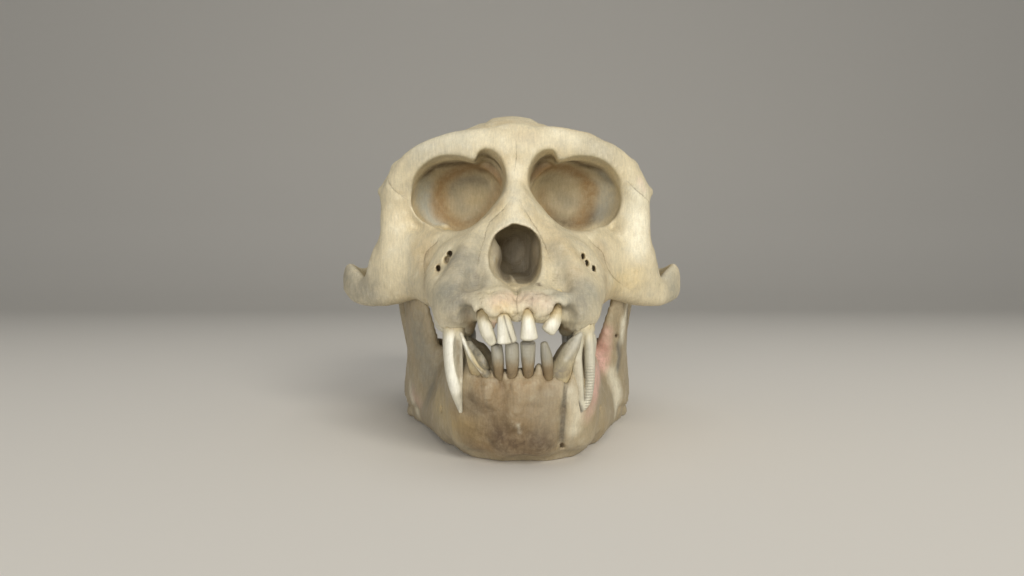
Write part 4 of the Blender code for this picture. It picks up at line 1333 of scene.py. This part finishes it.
def write_marks(thing, clay, marks):
    points = corners_of(thing)
    for kind in (*BONE_STAINS, "porous"):
        write_number(thing, kind, marked(points, clay, marks.get(kind, ())))
    lines = [
        (smooth_path(seen(clay, pixels), 4), half_width, strength)
        for pixels, half_width, strength in marks["line"]
    ]
    offset, amount = beside(points, lines)
    write_number(thing, "line", amount)
    write_number(thing, "beside", offset)
    write_number(thing, "hollow", clay.openness(points, 1.5))
    write_number(thing, "deep", clay.openness(points, 5.0))
    facing_down = np.clip((-facing_of(thing)[:, 2] - 0.55) / 0.3, 0, 1)
    for kind, radii, amount in (("socket", SOCKET_REACH, 1), ("roof", ROOF_REACH, facing_down)):
        sides = [
            within(points, SOCKET_MIDDLE * (side, 1, 1) + (FACE_SHIFT, 0, 0), radii, 0.25)
            for side in (-1, 1)
        ]
        write_number(thing, kind, np.maximum(*sides) * amount)
    write_number(thing, "nasal", within(points, NOSE_MIDDLE, NOSE_REACH, 0.5))


class Finish:
    """A material built up as layers of colour, each laid on by a number between 0 and 1."""

    def __init__(self, name, colour):
        self.material = bpy.data.materials.new(name)
        self.material.use_nodes = True
        self.nodes = self.material.node_tree.nodes
        self.links = self.material.node_tree.links
        self.shader = self.nodes["Principled BSDF"]
        metres = self.nodes.new("ShaderNodeTexCoord").outputs["Object"]
        self.place = self.scaled(metres, 1 / MM)
        first = self.nodes.new("ShaderNodeRGB")
        first.outputs[0].default_value = plain(colour)
        self.colour = first.outputs[0]
        self.height = None

    def node(self, kind, values, output=0, **settings):
        made = self.nodes.new(kind)
        for key, value in settings.items():
            setattr(made, key, value)
        for key, value in values.items():
            self.feed(made.inputs[key], value)
        return made.outputs[output]

    def feed(self, socket, value):
        if isinstance(value, bpy.types.NodeSocket):
            self.links.new(value, socket)
        else:
            socket.default_value = value

    def math(self, operation, first, second=0.0):
        return self.node("ShaderNodeMath", {0: first, 1: second}, operation=operation)

    def times(self, first, second):
        return self.math("MULTIPLY", first, second)

    def scaled(self, vector, factor):
        values = {0: vector, "Scale": factor}
        return self.node("ShaderNodeVectorMath", values, operation="SCALE")

    def ease(self, value, low, high, start=0.0, end=1.0):
        """A value brought softly from between low and high to between start and end."""
        values = {0: value, 1: low, 2: high, 3: start, 4: end}
        return self.node("ShaderNodeMapRange", values, interpolation_type="SMOOTHSTEP")

    def spread(self, factors):
        values = {0: self.place, 1: factors}
        return self.node("ShaderNodeVectorMath", values, operation="MULTIPLY")

    def noise(self, scale, detail=4.0, rough=0.55, distortion=0.0, place=None):
        return self.node("ShaderNodeTexNoise", {
            "Vector": place or self.place, "Scale": scale, "Detail": detail, "Roughness": rough,
            "Distortion": distortion,
        })

    def number(self, name):
        out = self.nodes.new("ShaderNodeAttribute")
        out.attribute_name = name
        return out.outputs["Fac"]

    def layer(self, colour, amount, factor=None):
        """Lays a colour over the others, as much as the amount, times the factor, says."""
        if factor is not None:
            amount = self.times(amount, factor)
        mix = self.nodes.new("ShaderNodeMix")
        mix.data_type = "RGBA"
        self.links.new(amount, mix.inputs[0])
        self.links.new(self.colour, mix.inputs[6])
        mix.inputs[7].default_value = plain(colour)
        self.colour = mix.outputs[2]

    def shade(self, factor):
        """Multiplies the colour by a number."""
        self.colour = self.scaled(self.colour, factor)

    def raise_by(self, value, amount):
        part = self.times(value, amount)
        self.height = part if self.height is None else self.math("ADD", self.height, part)

    def close(self, rough, shine):
        self.feed(self.shader.inputs["Base Color"], self.colour)
        self.feed(self.shader.inputs["Roughness"], rough)
        self.feed(self.shader.inputs["Specular IOR Level"], shine)
        if self.height is not None:
            values = {"Height": self.height, "Distance": MM, "Strength": 1.0}
            bump = self.node("ShaderNodeBump", values, "Normal")
            self.feed(self.shader.inputs["Normal"], bump)
        return self.material


def plain(colour):
    """A screen colour of 0 to 255 as the linear colour that materials take."""
    linear = []
    for value in colour:
        value /= 255
        linear.append(value / 12.92 if value <= 0.04045 else ((value + 0.055) / 1.055) ** 2.4)
    return (*linear, 1)


def bone_finish(name, base, tan, pale, soil_and_shade, line_colour, wander):
    finish = Finish(name, base)
    number, ease, layer, times = finish.number, finish.ease, finish.layer, finish.times
    broad = finish.noise(0.07, 3, 0.5)
    middle = finish.noise(0.26, 6, 0.62, 0.25)
    blotch = finish.noise(0.6, 6, 0.7, 0.3)
    fine = finish.noise(2.6, 5, 0.7)
    layer(tan, ease(broad, 0.45, 0.72), 0.55)
    layer(GREY_FILM, ease(middle, 0.52, 0.3), 0.36)
    layer(pale, ease(middle, 0.5, 0.74), 0.4)
    layer(soil_and_shade, ease(blotch, 0.56, 0.8), 0.35)

    patchy = ease(blotch, 0.32, 0.62, 0.7, 1.1)
    for kind, (colour, strength) in BONE_STAINS.items():
        amount = times(times(number(kind), patchy), strength)
        if kind in SOCKET_STAINS:
            amount = times(amount, number("socket"))
        layer(colour, finish.math("MINIMUM", amount, 1.0))

    aside = times(finish.math("SUBTRACT", finish.noise(1.6, 4, 0.65), 0.5), wander)
    offset = finish.math("ABSOLUTE", finish.math("ADD", number("beside"), aside))
    seam = times(ease(offset, 1.5, 0.5), number("line"))
    layer(line_colour, seam, ease(blotch, 0.35, 0.6, 0.5, 1.0))
    layer(ROOF_SHADE, number("roof"), 0.3)
    layer(NOSE_SHADE, number("nasal"), 0.55)
    # Dirt and painted shade: the deep places and hollows outside the eye sockets are darkened
    free = finish.math("SUBTRACT", 1.0, number("socket"))
    layer(soil_and_shade, ease(number("deep"), 0.0, -0.6, 0.0, 0.35), free)
    layer(HOLLOW_DIRT_AND_SHADE, ease(number("hollow"), -0.08, -0.55, 0.0, 0.7), free)
    # Painted light: the ridges are made paler
    layer(pale, ease(number("hollow"), 0.12, 0.5), 0.4)

    fibre = finish.noise(1.0, 4, 0.65, 0.4, finish.spread((2.4, 0.6, 0.45)))
    finish.shade(ease(fibre, 0.3, 0.7, 0.9, 1.06))
    finish.shade(ease(fine, 0.25, 0.75, 0.93, 1.05))
    pitted = times(ease(finish.noise(0.9, 4, 0.65), 0.5, 0.78), number("porous"))
    layer(PIT_DIRT, pitted, 0.5)
    broken = times(blotch, number("porous"))
    for height, amount in ((fine, 0.06), (middle, 0.07), (fibre, 0.05), (pitted, -0.18),
                           (broken, 0.3), (seam, -0.1)):
        finish.raise_by(height, amount)
    return finish.close(ease(middle, 0.3, 0.7, 0.6, 0.46), 0.3)


def tooth_finish(name, crown, root, neck, soil_and_shade):
    finish = Finish(name, crown)
    number, ease, layer, times = finish.number, finish.ease, finish.layer, finish.times
    middle = finish.noise(0.8, 5, 0.65, 0.6)
    uneven = times(finish.math("SUBTRACT", middle, 0.5), 0.5)
    layer(root, ease(finish.math("ADD", number("root"), uneven), 0.1, 0.9))
    layer(neck, number("neck"), ease(middle, 0.4, 0.6, 0.3, 0.9))
    layer(soil_and_shade, ease(middle, 0.52, 0.8), 0.35)
    for kind, colour in TOOTH_STAINS.items():
        layer(colour, number(kind), ease(middle, 0.3, 0.6, 0.6, 1.0))
    # Dirt and painted shade: the tooth's hollows are darkened
    layer(soil_and_shade, ease(number("hollow"), -0.02, -0.4), 0.7)

    upright = finish.noise(1.0, 4, 0.6, 0.2, finish.spread((2.6, 2.6, 0.3)))
    finish.shade(ease(upright, 0.3, 0.7, 0.9, 1.05))
    height = finish.node("ShaderNodeSeparateXYZ", {0: finish.place}, "Z")
    rib = times(finish.math("SINE", times(height, RIBS)), number("ribbed"))
    # Painted shade: the troughs between the ribs are darkened
    finish.shade(ease(rib, -0.9, 0.4, 0.84, 1.0))
    for height, amount in ((rib, 0.05), (upright, 0.06), (middle, 0.08)):
        finish.raise_by(height, amount)
    return finish.close(ease(middle, 0.3, 0.7, 0.42, 0.28), 0.45)


def write_tooth_numbers(thing, clay, name):
    points = corners_of(thing)
    level = name[:5]
    beyond = (points[:, 2] - ENAMEL_EDGE[level]) * (-1 if level == "upper" else 1)
    fade = CANINE_FADE if "canine" in name else TOOTH_FADE
    write_number(thing, "root", np.clip(1 - beyond / fade, 0, 1))
    write_number(thing, "neck", np.clip(1 - np.abs(beyond) / NECK_REACH, 0, 1))
    write_number(thing, "hollow", clay.openness(points, 0.8))
    for kind, strokes in TOOTH_MARKS.get(name, {}).items():
        write_number(thing, kind, marked(points, clay, strokes))
    if name == "upper_left_canine":
        outside = np.clip((points[:, 0] - RIBBED_OUTSIDE) / 0.3, 0, 1)
        below = np.clip((RIBBED_BELOW - points[:, 2]) / 2, 0, 1)
        write_number(thing, "ribbed", outside * below)


def build_skull():
    finishes = {
        "bone": bone_finish("Bone", *BONE),
        "jaw_bone": bone_finish("Jaw bone shaded", *JAW_BONE_SHADED),
        "enamel": tooth_finish("Enamel", *ENAMEL),
        "grey_enamel": tooth_finish("Grey enamel", *GREY_ENAMEL),
    }
    teeth = all_teeth()
    pieces = {}
    for name, (clay, _) in teeth.items():
        thing = clay.skin(name + "_skin")
        thin_out(thing, TOOTH_TRIANGLES)
        write_tooth_numbers(thing, clay, name)
        grey = name.startswith("lower") and name.endswith("incisor")
        pieces[name] = (thing, "grey_enamel" if grey else "enamel")
    for name, level, shape, triangles, marks, slot in (
        ("cranium", "upper", shape_cranium, CRANIUM_TRIANGLES, CRANIUM_MARKS, "bone"),
        ("mandible", "lower", shape_jaw, JAW_TRIANGLES, JAW_MARKS, "jaw_bone"),
    ):
        clay = shape([root for tooth, (_, root) in teeth.items() if tooth.startswith(level)])
        thing = clay.skin(name + "_skin")
        thin_out(thing, triangles, SHOWN_DEPTH)
        weather(thing, clay, ROUGH_PLACES[name])
        write_marks(thing, clay, marks)
        pieces[name] = (thing, slot)
    for name, (thing, slot) in pieces.items():
        thing.data.materials.append(finishes[slot])
        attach(thing, "root")
        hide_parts(name)


# Lamps: name, place in metres, size in metres, watts and colour, and the place that they shine at
LAMPS = (
    ("Key", (0.34, -0.78, 0.46), 0.4, 4.8, (255, 250, 240)),
    ("Fill", (-0.2, -0.9, 0.1), 0.4, 3.4, (252, 250, 250)),
    ("Top", (0.05, 0.0, 0.85), 0.6, 1.2, (255, 250, 242)),
)
LIT = Vector((0, 0, 0.04))

# The floor's section, in y and z and in metres, half its width, its colour and the room's
FLOOR_ROWS = ((-1.2, 0), (0.9, 0), (1.1, 0.02), (1.25, 0.08), (1.36, 0.2), (1.4, 0.4), (1.4, 1.6))
FLOOR_HALF = 2.5
FLOOR_COLOUR = (226, 223, 217)
ROOM_COLOUR = (232, 232, 230)
ROOM_LIGHT = 0.3

# The width of the camera's sensor, in millimetres
SENSOR = 36


def set_stage():
    """A pale floor that turns up into a wall far behind, soft lamps and the photo's viewpoint."""
    points = [(x, y, z) for y, z in FLOOR_ROWS for x in (-FLOOR_HALF, FLOOR_HALF)]
    faces = [(2 * i, 2 * i + 1, 2 * i + 3, 2 * i + 2) for i in range(len(FLOOR_ROWS) - 1)]
    mesh = bpy.data.meshes.new("floor")
    mesh.from_pydata(points, [], faces)
    mesh.shade_smooth()
    mesh.materials.append(Finish("Pale floor", FLOOR_COLOUR).close(0.9, 0.1))
    floor = placed("floor", mesh)
    for name, place, size, power, colour in LAMPS:
        light = bpy.data.lights.new(name, "AREA")
        light.size = size
        light.energy = power
        light.color = plain(colour)[:3]
        lamp = placed(name, light)
        lamp.location = place
        lamp.rotation_euler = (LIT - Vector(place)).to_track_quat("-Z", "Y").to_euler()
    world = bpy.data.worlds.new("Studio")
    world.use_nodes = True
    world.node_tree.nodes["Background"].inputs["Color"].default_value = plain(ROOM_COLOUR)
    world.node_tree.nodes["Background"].inputs["Strength"].default_value = ROOM_LIGHT
    view = bpy.data.cameras.new("Photo view")
    view.sensor_width = SENSOR
    view.lens = FOCAL / (2 * PHOTO_MIDDLE[0]) * SENSOR
    view.clip_start = 0.005
    camera = placed("Photo view", view)
    camera.location = (EYE + SHIFT) * MM
    camera.rotation_euler = (math.radians(90), 0, -EYE_TURN)
    scene = bpy.context.scene
    scene.world = world
    scene.camera = camera
    scene.view_settings.view_transform = "Standard"


build_skull()
set_stage()
